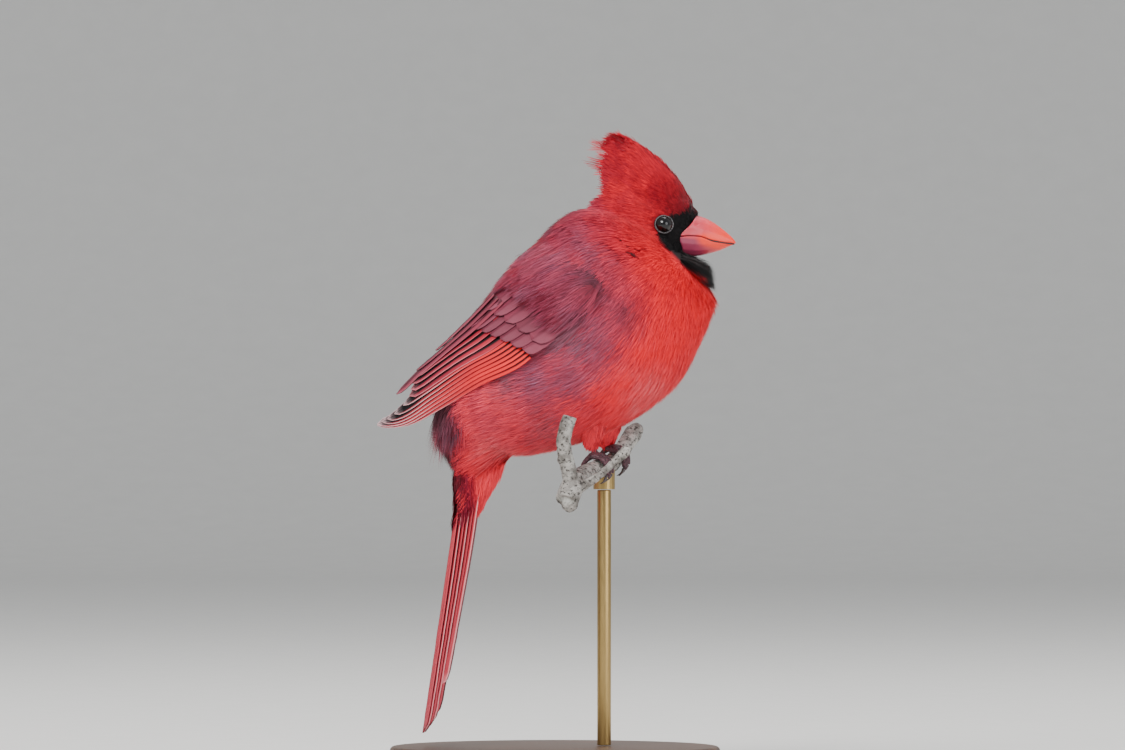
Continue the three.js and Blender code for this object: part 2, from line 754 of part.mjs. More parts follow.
function taperedTube(path, radius, steps, sides, stretch = V(0, 0, 0)) {
  const rings = [];
  for (let i = 0; i <= steps; i++) {
    const t = i / steps;
    const here = path(t);
    const along = path(t + 0.02).sub(path(t - 0.02)).normalize();
    const side = along.clone().cross(stretch.lengthSq() ? stretch : V(0, 1, 0.01)).normalize();
    const out = side.clone().cross(along);
    const ring = [];
    for (let k = 0; k < sides; k++) {
      const a = (2 * Math.PI * k) / sides;
      ring.push(
        here
          .clone()
          .addScaledVector(side, Math.cos(a) * radius(t))
          .addScaledVector(out, Math.sin(a) * radius(t)),
      );
    }
    rings.push(ring);
  }
  return closedLoft(rings);
}

const perchGrown = tubeAlong(twigLine, twigRadii.map((r) => r + GAP), TWIG_STEPS, 10);
function footSolids(name) {
  const frame = footFrame(name);
  const toes = [];
  const claws = [];
  for (const toe of TOES) {
    const path = toePath(frame, toe, TOE_START - 20, toe.sweep);
    const bulge = (t) => TOE_RADIUS * (1.1 - 0.28 * t + 0.08 * Math.cos(t * 6 * Math.PI));
    toes.push(taperedTube(path, bulge, 9, 7, frame.along));
    const nail = toePath(frame, toe, toe.sweep + 5.4, toe.sweep + CLAW_SWEEP, 0.35);
    const point = (t) => lerp(0.72, 0.14, t);
    claws.push({ name: `claw_${name}_${toe.name}`, solid: taperedTube(nail, point, 5, 6, frame.along) });
  }
  const ankle = frame.centre.clone().addScaledVector(frame.up, toeReach + 0.2);
  const knee = V(frame.centre.x - 5, frame.centre.y * 1.02, body.point(3.1, Math.PI).z + 6);
  const shin = taperedTube((t) => ankle.clone().lerp(knee, t), () => TARSUS_RADIUS, 3, 10, V(0, 1, 0));
  const palm = (grow) => {
    const pad = new THREE.SphereGeometry(1, 10, 6);
    pad.scale(3.0 + grow, 3.6 + grow, 1.3 + grow);
    pad.translate(ankle.x, ankle.y, ankle.z);
    return solidFromGeometry(pad);
  };
  return {
    leg: largest(shin.subtract(bodyGrown).subtract(palm(GAP))),
    foot: largest(union([...toes, palm(0)]).subtract(bodyGrown).subtract(perchGrown)),
    claws,
  };
}

// Stand: a turned disc, a rod and a cup that carries the twig between the feet
function standSolids() {
  const rim = [
    [0, 0],
    [BASE_RADIUS - 0.6, 0],
    [BASE_RADIUS, 0.6],
    [BASE_RADIUS, BASE_HEIGHT - 2.6],
    [BASE_RADIUS - 0.8, BASE_HEIGHT - 0.9],
    [BASE_RADIUS - 2.8, BASE_HEIGHT],
    [0, BASE_HEIGHT],
  ].map(([r, z]) => new THREE.Vector2(r, z));
  const disc = new THREE.LatheGeometry(rim, 40);
  disc.rotateX(Math.PI / 2);
  const seat = twig.getPoint(0.585);
  const CUP_RADIUS = 3.9;
  const CUP_HEIGHT = 7;
  const cupTop = seat.z - 1.2;
  const turned = (radius, low, high, sides) => {
    const piece = new THREE.CylinderGeometry(radius, radius, high - low, sides);
    piece.rotateX(Math.PI / 2);
    piece.translate(seat.x, seat.y, (low + high) / 2);
    return solidFromGeometry(piece);
  };
  return {
    stand_base: solidFromGeometry(disc),
    stand_rod: turned(ROD_RADIUS, BASE_HEIGHT + GAP, cupTop - CUP_HEIGHT - GAP, 20),
    stand_cup: turned(CUP_RADIUS, cupTop - CUP_HEIGHT, cupTop, 24).subtract(perchGrown),
  };
}

// The finished group, one named mesh for each piece
const paint = (color, roughness, metalness = 0) => new THREE.MeshStandardMaterial({ color, roughness, metalness });
const finishes = {
  plumage: paint(0xd8232a, 0.75),
  wing: paint(0xa03440, 0.65),
  bill: paint(0xe8563c, 0.35),
  eye: paint(0x14110f, 0.08),
  leg: paint(0x4a2f35, 0.55),
  claw: paint(0x2a1d20, 0.4),
  twig: paint(0xa9a49c, 0.9),
  base: paint(0x3b2a20, 0.45),
  rod: paint(0x9a8a60, 0.3, 0.9),
};

const cardinal = new THREE.Group();
function add(name, solid, finish) {
  const made = solid.getMesh();
  const count = made.numVert;
  const positions = new Float32Array(count * 3);
  for (let i = 0; i < count; i++)
    positions.set(made.vertProperties.subarray(i * made.numProp, i * made.numProp + 3), i * 3);
  const geometry = new THREE.BufferGeometry()
    .setAttribute("position", new THREE.BufferAttribute(positions, 3))
    .setIndex(new THREE.BufferAttribute(made.triVerts, 1));
  geometry.computeVertexNormals();
  const mesh = new THREE.Mesh(geometry, finish);
  mesh.name = name;
  cardinal.add(mesh);
}

add("torso", torsoSolid(), finishes.plumage);
add("neck", neckSolid(), finishes.plumage);
add("head", headSolid(), finishes.plumage);
add("crest", crestSolid(), finishes.plumage);
const bills = billSolids();
add("bill_upper", bills.upper, finishes.bill);
add("bill_lower", bills.lower, finishes.bill);
add("eye_left", eyeBall(1, 0), finishes.eye);
add("eye_right", eyeBall(-1, 0), finishes.eye);
const wing = wingSolid();
add("wing_left", wing, finishes.wing);
add("wing_right", mirrored(wing), finishes.wing);
add("tail", tailSolid(), finishes.wing);
for (const name of ["right", "left"]) {
  const { leg, foot, claws } = footSolids(name);
  add(`leg_${name}`, leg, finishes.leg);
  add(`foot_${name}`, foot, finishes.leg);
  for (const claw of claws) add(claw.name, claw.solid, finishes.claw);
}
add("perch", perchSolid(), finishes.twig);
const stand = standSolids();
add("stand_base", stand.stand_base, finishes.base);
add("stand_rod", stand.stand_rod, finishes.rod);
add("stand_cup", largest(stand.stand_cup), finishes.rod);

export default cardinal;
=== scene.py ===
import math

import bmesh
import bpy
import numpy as np
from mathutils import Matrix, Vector, kdtree, noise


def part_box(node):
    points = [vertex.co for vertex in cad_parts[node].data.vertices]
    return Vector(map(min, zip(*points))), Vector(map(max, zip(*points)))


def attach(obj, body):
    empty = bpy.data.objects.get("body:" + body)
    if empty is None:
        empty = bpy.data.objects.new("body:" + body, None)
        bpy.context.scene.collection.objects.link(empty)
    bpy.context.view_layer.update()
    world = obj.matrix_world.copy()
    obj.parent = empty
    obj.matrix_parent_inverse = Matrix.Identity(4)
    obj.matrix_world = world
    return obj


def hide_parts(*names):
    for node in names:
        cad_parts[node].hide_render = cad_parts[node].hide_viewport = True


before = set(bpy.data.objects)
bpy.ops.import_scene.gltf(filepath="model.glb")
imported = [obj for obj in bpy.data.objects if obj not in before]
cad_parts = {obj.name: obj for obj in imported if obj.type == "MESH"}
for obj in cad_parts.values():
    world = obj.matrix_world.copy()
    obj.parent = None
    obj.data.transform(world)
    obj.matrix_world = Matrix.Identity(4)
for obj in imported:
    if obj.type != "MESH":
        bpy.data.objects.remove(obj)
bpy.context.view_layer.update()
chance = np.random.default_rng(11)

# The skin: one closed surface under all the plumage, so that no seam shows between trunk, neck, head and crest.
# It is laid on the same stations as the solids, each a back (x, z), a belly (x, z) and a half width in millimetres,
# and lies inside them by the depth of the coat. Trunk, head and crest are joined into one mesh and smoothed.
TRUNK = [
    (-38.9, 115.6, -19.8, 105.5, 11.0), (-42.3, 131.8, -11.9, 113.8, 21.0), (-38.2, 149.4, 0.4, 115.6, 28.0),
    (-31.0, 163.1, 16.2, 120.6, 32.0), (-20.6, 176.4, 33.1, 129.6, 33.5), (-9.8, 188.0, 47.0, 143.5, 32.5),
    (0.5, 197.6, 54.7, 159.8, 29.5), (7.6, 202.2, 57.0, 171.0, 25.0), (14.0, 204.6, 54.8, 176.8, 20.0),
    (20.5, 203.5, 50.5, 183.4, 12.5),
]
HEAD = [
    (15.5, 205.5, 16.5, 192.5, 6.0), (19.5, 211.0, 20.0, 184.5, 11.4), (27.5, 215.2, 27.0, 180.6, 13.8),
    (36.5, 214.6, 34.0, 179.8, 13.8), (43.0, 211.2, 39.5, 181.2, 12.4), (48.0, 206.8, 43.4, 183.4, 9.8),
    (51.6, 201.6, 46.0, 186.0, 6.4),
]
CREST = [
    (16.0, 203.0, 50.2, 200.6, 11.0), (17.0, 209.0, 47.6, 208.0, 10.8), (18.6, 215.0, 41.8, 215.2, 8.4),
    (20.0, 219.6, 34.4, 221.2, 5.4), (21.2, 223.4, 28.4, 225.0, 2.8), (22.4, 226.4, 24.4, 227.2, 0.9),
]


def through(stations, place):
    """Smooth values at any place along the stations, where station i lies at place i."""
    table = np.asarray(stations, float)
    place = np.clip(place, 0, len(table) - 1 - 1e-9)
    i = np.floor(place).astype(int)
    f = (place - i)[..., None]
    table = np.vstack([2 * table[0] - table[1], table, 2 * table[-1] - table[-2]])
    a, b, c, d = (table[i + k] for k in range(4))
    return 0.5 * (2 * b + (c - a) * f + (2 * a - 5 * b + 4 * c - d) * f**2 + (3 * b - a - 3 * c + d) * f**3)


def on_stations(stations, place, angle, grow=0.0):
    """Points in millimetres on the surface round the stations: angle 0 is the back, a quarter turn the bird's left."""
    row = through(stations, place)
    middle = (row[..., 0:2] + row[..., 2:4]) / 2
    reach = (row[..., 0:2] - row[..., 2:4]) / 2
    height = np.linalg.norm(reach, axis=-1, keepdims=True)
    grow = np.asarray(grow, float)[..., None]
    xz = middle + reach / height * np.maximum(height + grow, 0.3) * np.cos(angle)[..., None]
    y = np.sin(angle) * np.maximum(row[..., 4] + grow[..., 0], 0.3)
    return np.stack([xz[..., 0], y, xz[..., 1]], -1)


def begun(name, add, **sizes):
    """Adds a plain shape to start from, with nothing else selected."""
    bpy.ops.object.select_all(action="DESELECT")
    add(**sizes)
    piece = bpy.context.object
    piece.name = name
    return piece


def wrapped_sphere(name, stations, grow, segments=48, rings=40, pinch=0.0):
    """A sphere whose rings are drawn out along the stations, and pinched thinner on the side of angle 0."""
    piece = begun(name, bpy.ops.mesh.primitive_uv_sphere_add, segments=segments, ring_count=rings, radius=1)
    co = np.array([v.co for v in piece.data.vertices])
    place = (np.arcsin(np.clip(co[:, 2], -1, 1)) / math.pi + 0.5) * (len(stations) - 1)
    pole = np.abs(co[:, 2]) > 0.9999
    angle = np.arctan2(co[:, 1], co[:, 0])
    new = on_stations(stations, place, angle, np.broadcast_to(grow(place), place.shape))
    middle = (on_stations(stations, place, angle * 0) + on_stations(stations, place, angle * 0 + math.pi)) / 2
    new[:, 1] *= 1 - pinch * np.cos(angle)
    new[pole] = middle[pole]
    move_points(piece, new)
    turn_out(piece)
    return piece


def points_of(piece):
    """The points of a mesh, in millimetres."""
    return np.array([v.co for v in piece.data.vertices]) * 1000


def move_points(piece, points):
    """Puts the points of a mesh at new places, given in millimetres."""
    piece.data.vertices.foreach_set("co", (points * 0.001).astype(np.float32).ravel())
    piece.data.update()


def turn_out(piece):
    """Merges doubles, puts the faces in the same order each time, and turns them outwards."""
    shape = bmesh.new()
    shape.from_mesh(piece.data)
    bmesh.ops.remove_doubles(shape, verts=shape.verts, dist=1e-6)
    shape.verts.index_update()
    shape.faces.sort(key=lambda face: min(v.index for v in face.verts) * 1e5 + sum(v.index for v in face.verts))
    bmesh.ops.recalc_face_normals(shape, faces=shape.faces)
    shape.to_mesh(piece.data)
    shape.free()
    piece.data.update()


def finish_with(piece, kind, **settings):
    """Adds a modifier and applies it."""
    bpy.context.view_layer.objects.active = piece
    modifier = piece.modifiers.new(kind, kind)
    for key, value in settings.items():
        setattr(modifier, key, value)
    bpy.ops.object.modifier_apply(modifier=modifier.name)


def joined(name, pieces):
    """Joins pieces into the first of them."""
    bpy.ops.object.select_all(action="DESELECT")
    for piece in pieces:
        piece.select_set(True)
    bpy.context.view_layer.objects.active = pieces[0]
    bpy.ops.object.join()
    pieces[0].name = name
    return pieces[0]


skin = joined("skin", [
    wrapped_sphere("trunk_skin", TRUNK, lambda s: -2.4 + 0.0 * s),
    wrapped_sphere("head_skin", HEAD, lambda s: -1.6 + 0.22 * np.clip(s - 1, 0, 5), 40, 32),
    wrapped_sphere("crest_skin", CREST, lambda s: -0.8 + 0.1 * s, 32, 30, 0.5),
])
finish_with(skin, "REMESH", mode="VOXEL", voxel_size=0.0012)
finish_with(skin, "SMOOTH", factor=0.5, iterations=8)
bpy.ops.object.shade_smooth()


class Value:
    """A value in a shader's tree. Sums and products of values add their Math nodes."""

    def __init__(self, socket):
        self.socket = socket

    def math(self, operation, *others):
        return add_node(self.socket.id_data, "ShaderNodeMath", {"operation": operation}, [self, *others])

    def __add__(self, other):
        return self.math("ADD", other)

    def __radd__(self, other):
        return self.math("ADD", other)

    def __sub__(self, other):
        return self.math("SUBTRACT", other)

    def __rsub__(self, other):
        return (self * -1.0).math("ADD", other)

    def __mul__(self, other):
        return self.math("MULTIPLY", other)

    def __rmul__(self, other):
        return self.math("MULTIPLY", other)

    def parts(self):
        """The x, y and z of a place."""
        split = add_node(self.socket.id_data, "ShaderNodeSeparateXYZ", {}, [self])
        return [Value(output) for output in split.socket.node.outputs]

    def between(self, low, high):
        """0 below low, 1 above high and a smooth step between."""
        return add_node(
            self.socket.id_data, "ShaderNodeMapRange", {"interpolation_type": "SMOOTHSTEP"}, [self, low, high, 0.0, 1.0]
        )


def add_node(tree, kind, settings=None, sockets=None, out=0):
    """Any node: its settings first, then its sockets by number or name, each a value, a colour or a link."""
    node = tree.nodes.new(kind)
    for key, value in (settings or {}).items():
        setattr(node, key, value)
    pairs = sockets.items() if isinstance(sockets, dict) else enumerate(sockets or [])
    for key, value in pairs:
        if isinstance(value, Value):
            tree.links.new(value.socket, node.inputs[key])
        elif isinstance(value, tuple) and len(value) == 3 and len(node.inputs[key].default_value) == 4:
            node.inputs[key].default_value = (*value, 1)
        else:
            node.inputs[key].default_value = value
    return Value(node.outputs[out])


def red_green_blue(*colour):
    """A colour given from 0 to 255 as it looks, as the linear one that shaders use."""
    share = np.asarray(colour, float) / 255
    return tuple(np.where(share < 0.04045, share / 12.92, ((share + 0.055) / 1.055) ** 2.4))


def blend(tree, factor, low, high):
    """Mixes two colours, each a link or three numbers from 0 to 255."""
    low, high = (red_green_blue(*colour) if isinstance(colour, tuple) else colour for colour in (low, high))
    return add_node(tree, "ShaderNodeMix", {"data_type": "RGBA"}, {0: factor, 6: low, 7: high}, 2)


def on_object(tree):
    """Places on the object itself, in metres."""
    return add_node(tree, "ShaderNodeTexCoord", {}, {}, 3)


def speckle(tree, where, scale, detail=4.0, roughness=0.55):
    """Soft noise from 0 to 1 with so many spots to the metre."""
    return add_node(
        tree, "ShaderNodeTexNoise", {}, {"Vector": where, "Scale": scale, "Detail": detail, "Roughness": roughness}
    )


def stretched(tree, where, *scale):
    """Places scaled apart along x, y and z, so that a pattern on them is drawn out."""
    return add_node(tree, "ShaderNodeMapping", {}, {"Vector": where, "Scale": scale})


def new_finish(name, **fixed):
    """A material, its tree and its shader, with the sockets that are the same all over set on the shader."""
    material = bpy.data.materials.new(name)
    material.use_nodes = True
    shader = material.node_tree.nodes["Principled BSDF"]
    for key, value in fixed.items():
        shader.inputs[key.replace("_", " ")].default_value = value
    return material, material.node_tree, shader


def feed(tree, shader, **values):
    """Links values that vary over the surface to the shader's sockets."""
    for key, value in values.items():
        tree.links.new(value.socket, shader.inputs[key.replace("_", " ")])


def bumped(tree, height, strength, distance):
    """The normal of a surface with a fine relief."""
    return add_node(tree, "ShaderNodeBump", {}, {"Height": height, "Strength": strength, "Distance": distance})


def plumage_finish():
    """Feather barbs: colour painted on the mesh, mottled finely, with a soft sheen."""
    material, tree, shader = new_finish(
        "soft plumage", Sheen_Weight=0.05, Sheen_Roughness=0.45, Specular_IOR_Level=0.16
    )
    painted = add_node(tree, "ShaderNodeAttribute", {"attribute_name": "plume"}, {}, 0)
    where = on_object(tree)
    fine = speckle(tree, where, 900.0, 3.0)
    broad = speckle(tree, where, 120.0, 2.0)
    shade = 0.72 + fine * 0.34 + broad * 0.22
    colour = add_node(tree, "ShaderNodeHueSaturation", {}, {"Value": shade, "Color": painted})
    feed(tree, shader, Base_Color=colour, Roughness=0.62 + fine * 0.2)
    return material


soft_plumage = plumage_finish()


def paint(piece, colours):
    """Stores a colour on each point of a mesh, given from 0 to 255 as it looks."""
    layer = piece.data.color_attributes.new("plume", "FLOAT_COLOR", "POINT")
    linear = np.stack(red_green_blue(*np.asarray(colours, float).T), -1)
    layer.data.foreach_set("color", np.c_[linear, np.ones(len(linear))].astype(np.float32).ravel())


# The coat: twenty thousand small body feathers, each a fan of thin tapering barbs that is rooted in the skin and lies
# back along the body. Each place on the bird says where it is (x, y either side, z), which way its feathers lie (x, z),
# how long they are, how high their tips stand, their usual colour, and how many of them have a second one instead.
DYES = {
    "soot": (7, 5, 6), "wine": (100, 8, 26), "crimson": (160, 10, 32), "scarlet": (202, 12, 30),
    # The pale pink dye is used only to paint highlights on the breast and flank.
    "fire": (250, 22, 38), "coral": (248, 54, 68), "painted_highlight": (246, 132, 136), "rose": (182, 56, 78),
    "mauve": (136, 72, 94), "dusk": (86, 42, 54), "ash": (130, 102, 114),
}
PLUMAGE = {
    "forehead": ((49.7, 3, 204.5), (-0.45, 0.9), 5, 0.5, "crimson", "wine", 0.3),
    "crown_front": ((43.2, 4, 212.8), (-0.62, 0.78), 9, 0.25, "crimson", "wine", 0.25),
    "crest_front": ((34.2, 3, 222.5), (-0.8, 0.6), 11, 0.25, "crimson", "wine", 0.25),
    "crest_tip": ((24.1, 2, 228.6), (-0.88, 0.47), 8.5, 0.5, "crimson", "rose", 0.2),
    "crest_side": ((33.5, 8, 213.5), (-0.78, 0.62), 12, 0.7, "scarlet", "crimson", 0.35),
    "crest_rear": ((20.5, 6, 218.2), (-0.74, 0.67), 7.5, 0.7, "scarlet", "crimson", 0.6),
    "brow": ((39.2, 12, 203.0), (-0.9, 0.42), 6, 0.6, "scarlet", "crimson", 0.3),
    "temple": ((28.8, 12.5, 203.8), (-0.9, 0.42), 9, 0.8, "scarlet", "crimson", 0.4),
    "hind_crown": ((18.4, 9, 208.4), (-0.8, 0.6), 7.5, 0.9, "crimson", "mauve", 0.3),
    "lore": ((46.4, 8, 196.9), (-0.75, 0.1), 2.2, 0.4, "soot", "soot", 0.0),
    "behind_eye": ((32.4, 13, 196.2), (-0.98, 0.02), 6, 0.8, "crimson", "scarlet", 0.4),
    "cheek": ((30.6, 13.5, 189.4), (-0.92, -0.38), 7.5, 1.1, "scarlet", "fire", 0.35),
    "malar": ((39.2, 12, 184.7), (-0.8, -0.58), 6, 0.9, "fire", "scarlet", 0.5),
    "ear": ((20.5, 12, 196.2), (-0.92, -0.38), 9, 1.4, "crimson", "mauve", 0.4),
    "nape": ((14.0, 6, 200.9), (-0.74, -0.66), 10, 1.8, "mauve", "crimson", 0.5),
    "throat_side": ((37.8, 13, 177.5), (-0.6, -0.8), 9, 1.6, "fire", "scarlet", 0.35),
    "throat": ((51.1, 4, 175.3), (-0.1, -1), 9, 1.6, "fire", "scarlet", 0.2),
    "breast_front": ((56.9, 4, 164.2), (-0.05, -1), 12, 1.7, "fire", "coral", 0.25),
    "breast_side": ((40.7, 20, 162.4), (-0.4, -0.92), 12, 1.8, "fire", "coral", 0.2),
    "breast_low": ((51.5, 8, 145.1), (-0.38, -0.92), 13, 1.8, "fire", "coral", 0.45),
    "breast_low_side": ((34.2, 25, 143.6), (-0.7, -0.72), 13, 1.9, "fire", "coral", 0.5),
    "belly_front": ((40.7, 8, 131.4), (-0.78, -0.62), 12, 1.7, "coral", "fire", 0.5),
    "belly": ((19.8, 8, 122.0), (-0.96, -0.28), 11, 1.7, "coral", "fire", 0.3),
    "belly_side": ((13.3, 20, 130.7), (-0.93, -0.37), 13, 1.9, "coral", "rose", 0.3),
    "collar_low": ((24.1, 24, 173.9), (-0.7, -0.71), 10, 1.8, "rose", "dusk", 0.4),
    "shoulder_front": ((18.4, 30, 161.6), (-0.8, -0.6), 13, 2.1, "rose", "mauve", 0.5),
    "flank": ((6.1, 31, 143.6), (-0.94, -0.33), 14, 2.1, "rose", "mauve", 0.5),
    "flank_rear": ((-11.9, 27, 129.2), (-0.93, -0.36), 14, 2.1, "rose", "coral", 0.4),
    "flank_low": ((-1.1, 22, 123.8), (-0.93, -0.36), 13, 1.9, "coral", "rose", 0.3),
    "vent_side": ((-23.4, 15, 114.8), (-0.7, -0.71), 12, 1.7, "coral", "rose", 0.2),
    "vent": ((-19.8, 6, 106.2), (-0.72, -0.69), 11, 1.2, "coral", "fire", 0.3),
    "undertail": ((-26.3, 5, 99.4), (-0.3, -0.95), 12, 1.0, "coral", "fire", 0.3),
    "thigh": ((-35.6, 15, 115.6), (-0.3, -0.95), 12, 1.6, "scarlet", "wine", 0.4),
    "hip": ((-30.0, 22, 121.0), (-0.7, -0.71), 13, 1.9, "coral", "rose", 0.3),
    "rump_side": ((-43.5, 14, 127.4), (-0.3, -0.95), 16, 1.8, "dusk", "mauve", 0.45),
    "rump": ((-43.6, 5, 133.6), (-0.25, -0.97), 16, 1.8, "dusk", "mauve", 0.45),
    "lower_back": ((-37.1, 7, 153.4), (-0.62, -0.78), 12, 1.6, "dusk", "rose", 0.3),
    "back": ((-18.0, 9, 178.6), (-0.72, -0.7), 11, 1.6, "mauve", "crimson", 0.45),
    "mantle": ((-1.8, 8, 192.6), (-0.8, -0.6), 11, 1.6, "mauve", "crimson", 0.5),
    "mantle_side": ((4.3, 21, 185.4), (-0.8, -0.6), 11, 1.8, "rose", "mauve", 0.55),
    "scapular": ((0.4, 30, 172.4), (-0.82, -0.57), 13, 1.9, "mauve", "wine", 0.45),
    "collar": ((16.2, 20, 187.6), (-0.76, -0.65), 10, 1.7, "rose", "mauve", 0.5),
    "under_wing": ((-19.8, 27, 155.2), (-0.85, -0.52), 10, 1.2, "rose", "dusk", 0.5),
}
PLACE_REACH = 7.0  # how far, in millimetres, a place's feathers reach into those of its neighbours
# Outlines in the side view (x, z): the black mask, the bare root of the bill, and the folds under the cheek.
MASK = [
    (41.6, 199.2), (46.0, 199.9), (48.6, 201.2), (50.0, 203.4), (56.5, 204.4), (68.0, 187.6), (64.0, 176.4),
    (56.0, 176.4), (53.0, 176.8), (49.8, 179.2), (45.7, 182.8), (41.1, 187.6), (37.4, 193.0), (39.2, 193.9),
]
BILL_ROOT = [
    (54.0, 200.6), (49.8, 197.4), (46.7, 194.8), (45.2, 193.3), (44.7, 191.5), (44.9, 189.7), (45.7, 187.1),
    (46.9, 186.0), (60.0, 187.0), (66.0, 190.0),
]
FOLDS = [[(22.0, 191.4), (25.1, 188.3), (28.7, 186.5), (34.5, 186.5)], [(27.1, 185.0), (30.0, 183.4)]]
EYE = np.array((38.6, 10.7, 196.6))
EYE_OPENING = 3.45
FACE = (48, 0, 196)
BARBS = 12
FEATHERS = 20500


def folded(points):
    """The same points with the bird's right side laid over its left."""
    return points * (1, 0, 1) + np.abs(points) * (0, 1, 0)


def plumage_at(points, mottled=True):
    """Flow, length, lift and colour at each point, in proportion to how near each place of the table is."""
    table = list(PLUMAGE.values())
    centres = np.array([row[0] for row in table], float)
    facts = np.array([(*row[1], row[2], row[3], *DYES[row[4]], *DYES[row[5]], row[6]) for row in table], float)
    apart = np.linalg.norm(folded(points)[:, None] - centres[None], axis=2)
    nearest = apart.min(1, keepdims=True)
    weight = np.exp(-((apart**2 - nearest**2) / (2 * PLACE_REACH**2)))
    weight /= weight.sum(1, keepdims=True)
    mixed = weight @ facts
    flow = np.c_[mixed[:, 0], np.zeros(len(points)), mixed[:, 1]]
    share = mixed[:, 10]
    if mottled:
        patch = np.array([noise.noise(Vector(p) * 0.16) + 0.5 * noise.noise(Vector(p) * 0.5) for p in points])
        share = np.clip(share + (0.75 * patch + chance.normal(0, 0.22, len(points))) * np.minimum(share * 2.2, 1), 0, 1)
    colour = mixed[:, 4:7] * (1 - share[:, None]) + mixed[:, 7:10] * share[:, None]
    return flow, mixed[:, 2], mixed[:, 3], colour


def inside_outline(x, z, outline):
    """How far each point is inside (above 0) or outside (below 0) a closed outline, in millimetres."""
    corner = np.array(outline, float)
    after = np.roll(corner, -1, 0)
    along = after - corner
    offset = np.stack([x, z], -1)[:, None] - corner[None]
    share = np.clip((offset * along).sum(2) / (along**2).sum(1), 0, 1)
    apart = np.linalg.norm(offset - share[..., None] * along, axis=2).min(1)
    rise = np.where(along[:, 1] == 0, 1, along[:, 1])
    crosses = (corner[:, 1] > z[:, None]) != (after[:, 1] > z[:, None])
    crosses &= x[:, None] < along[:, 0] * (z[:, None] - corner[:, 1]) / rise + corner[:, 0]
    return np.where(crosses.sum(1) % 2 == 1, apart, -apart)


def scattered(piece, count, spacing, keep):
    """Roots spread evenly over a mesh: points in millimetres and their outward directions."""
    mesh = piece.data
    mesh.calc_loop_triangles()
    co = points_of(piece)
    normal = np.array([v.normal for v in mesh.vertices])
    corners = np.array([t.vertices[:] for t in mesh.loop_triangles])
    a, b, c = (co[corners[:, k]] for k in range(3))
    area = np.linalg.norm(np.cross(b - a, c - a), axis=1)
    wanted = area * keep((a + b + c) / 3)
    pick = chance.choice(len(corners), size=count * 4, p=wanted / wanted.sum())
    u, v = chance.random((2, len(pick), 1))
    flip = u + v > 1
    u, v = np.where(flip, 1 - u, u), np.where(flip, 1 - v, v)
    points = a[pick] + u * (b[pick] - a[pick]) + v * (c[pick] - a[pick])
    normals = normal[corners[pick, 0]]
    taken = {}
    kept = []
    for i, (point, gap) in enumerate(zip(points, spacing(points))):
        cell = tuple(np.floor(point / gap).astype(int))
        near = (
            taken.get((cell[0] + dx, cell[1] + dy, cell[2] + dz))
            for dx in (-1, 0, 1) for dy in (-1, 0, 1) for dz in (-1, 0, 1)
        )
        if all(other is None or np.sum((point - other) ** 2) > gap * gap for other in near):
            taken[cell] = point
            kept.append(i)
            if len(kept) == count:
                break
    return points[kept], normals[kept]


SPINE = np.array([
    (-29, 108), (-27, 123), (-18, 134), (-6, 144), (6, 153), (19, 166), (28, 180), (33, 192), (41, 198), (52, 194),
], float)


def unrolled(points):
    """Where each root lies on the skin, unrolled round the bird's own middle line."""
    place = np.linspace(0, len(SPINE) - 1, 400)
    line = through(SPINE, place)
    apart = ((points[:, None, [0, 2]] - line[None]) ** 2).sum(2)
    nearest = apart.argmin(1)
    ahead = np.gradient(line, axis=0)[nearest]
    ahead /= np.linalg.norm(ahead, axis=1, keepdims=True)
    offset = points[:, [0, 2]] - line[nearest]
    up = -ahead[:, 1] * offset[:, 0] + ahead[:, 0] * offset[:, 1]
    turn = np.arctan2(points[:, 1], up) / (2 * math.pi) + 0.5
    return np.c_[0.01 + 0.98 * turn, 0.01 + 0.98 * nearest / (len(place) - 1)]


DROOP = 0.55  # how far a feather's tip bends back down to those under it


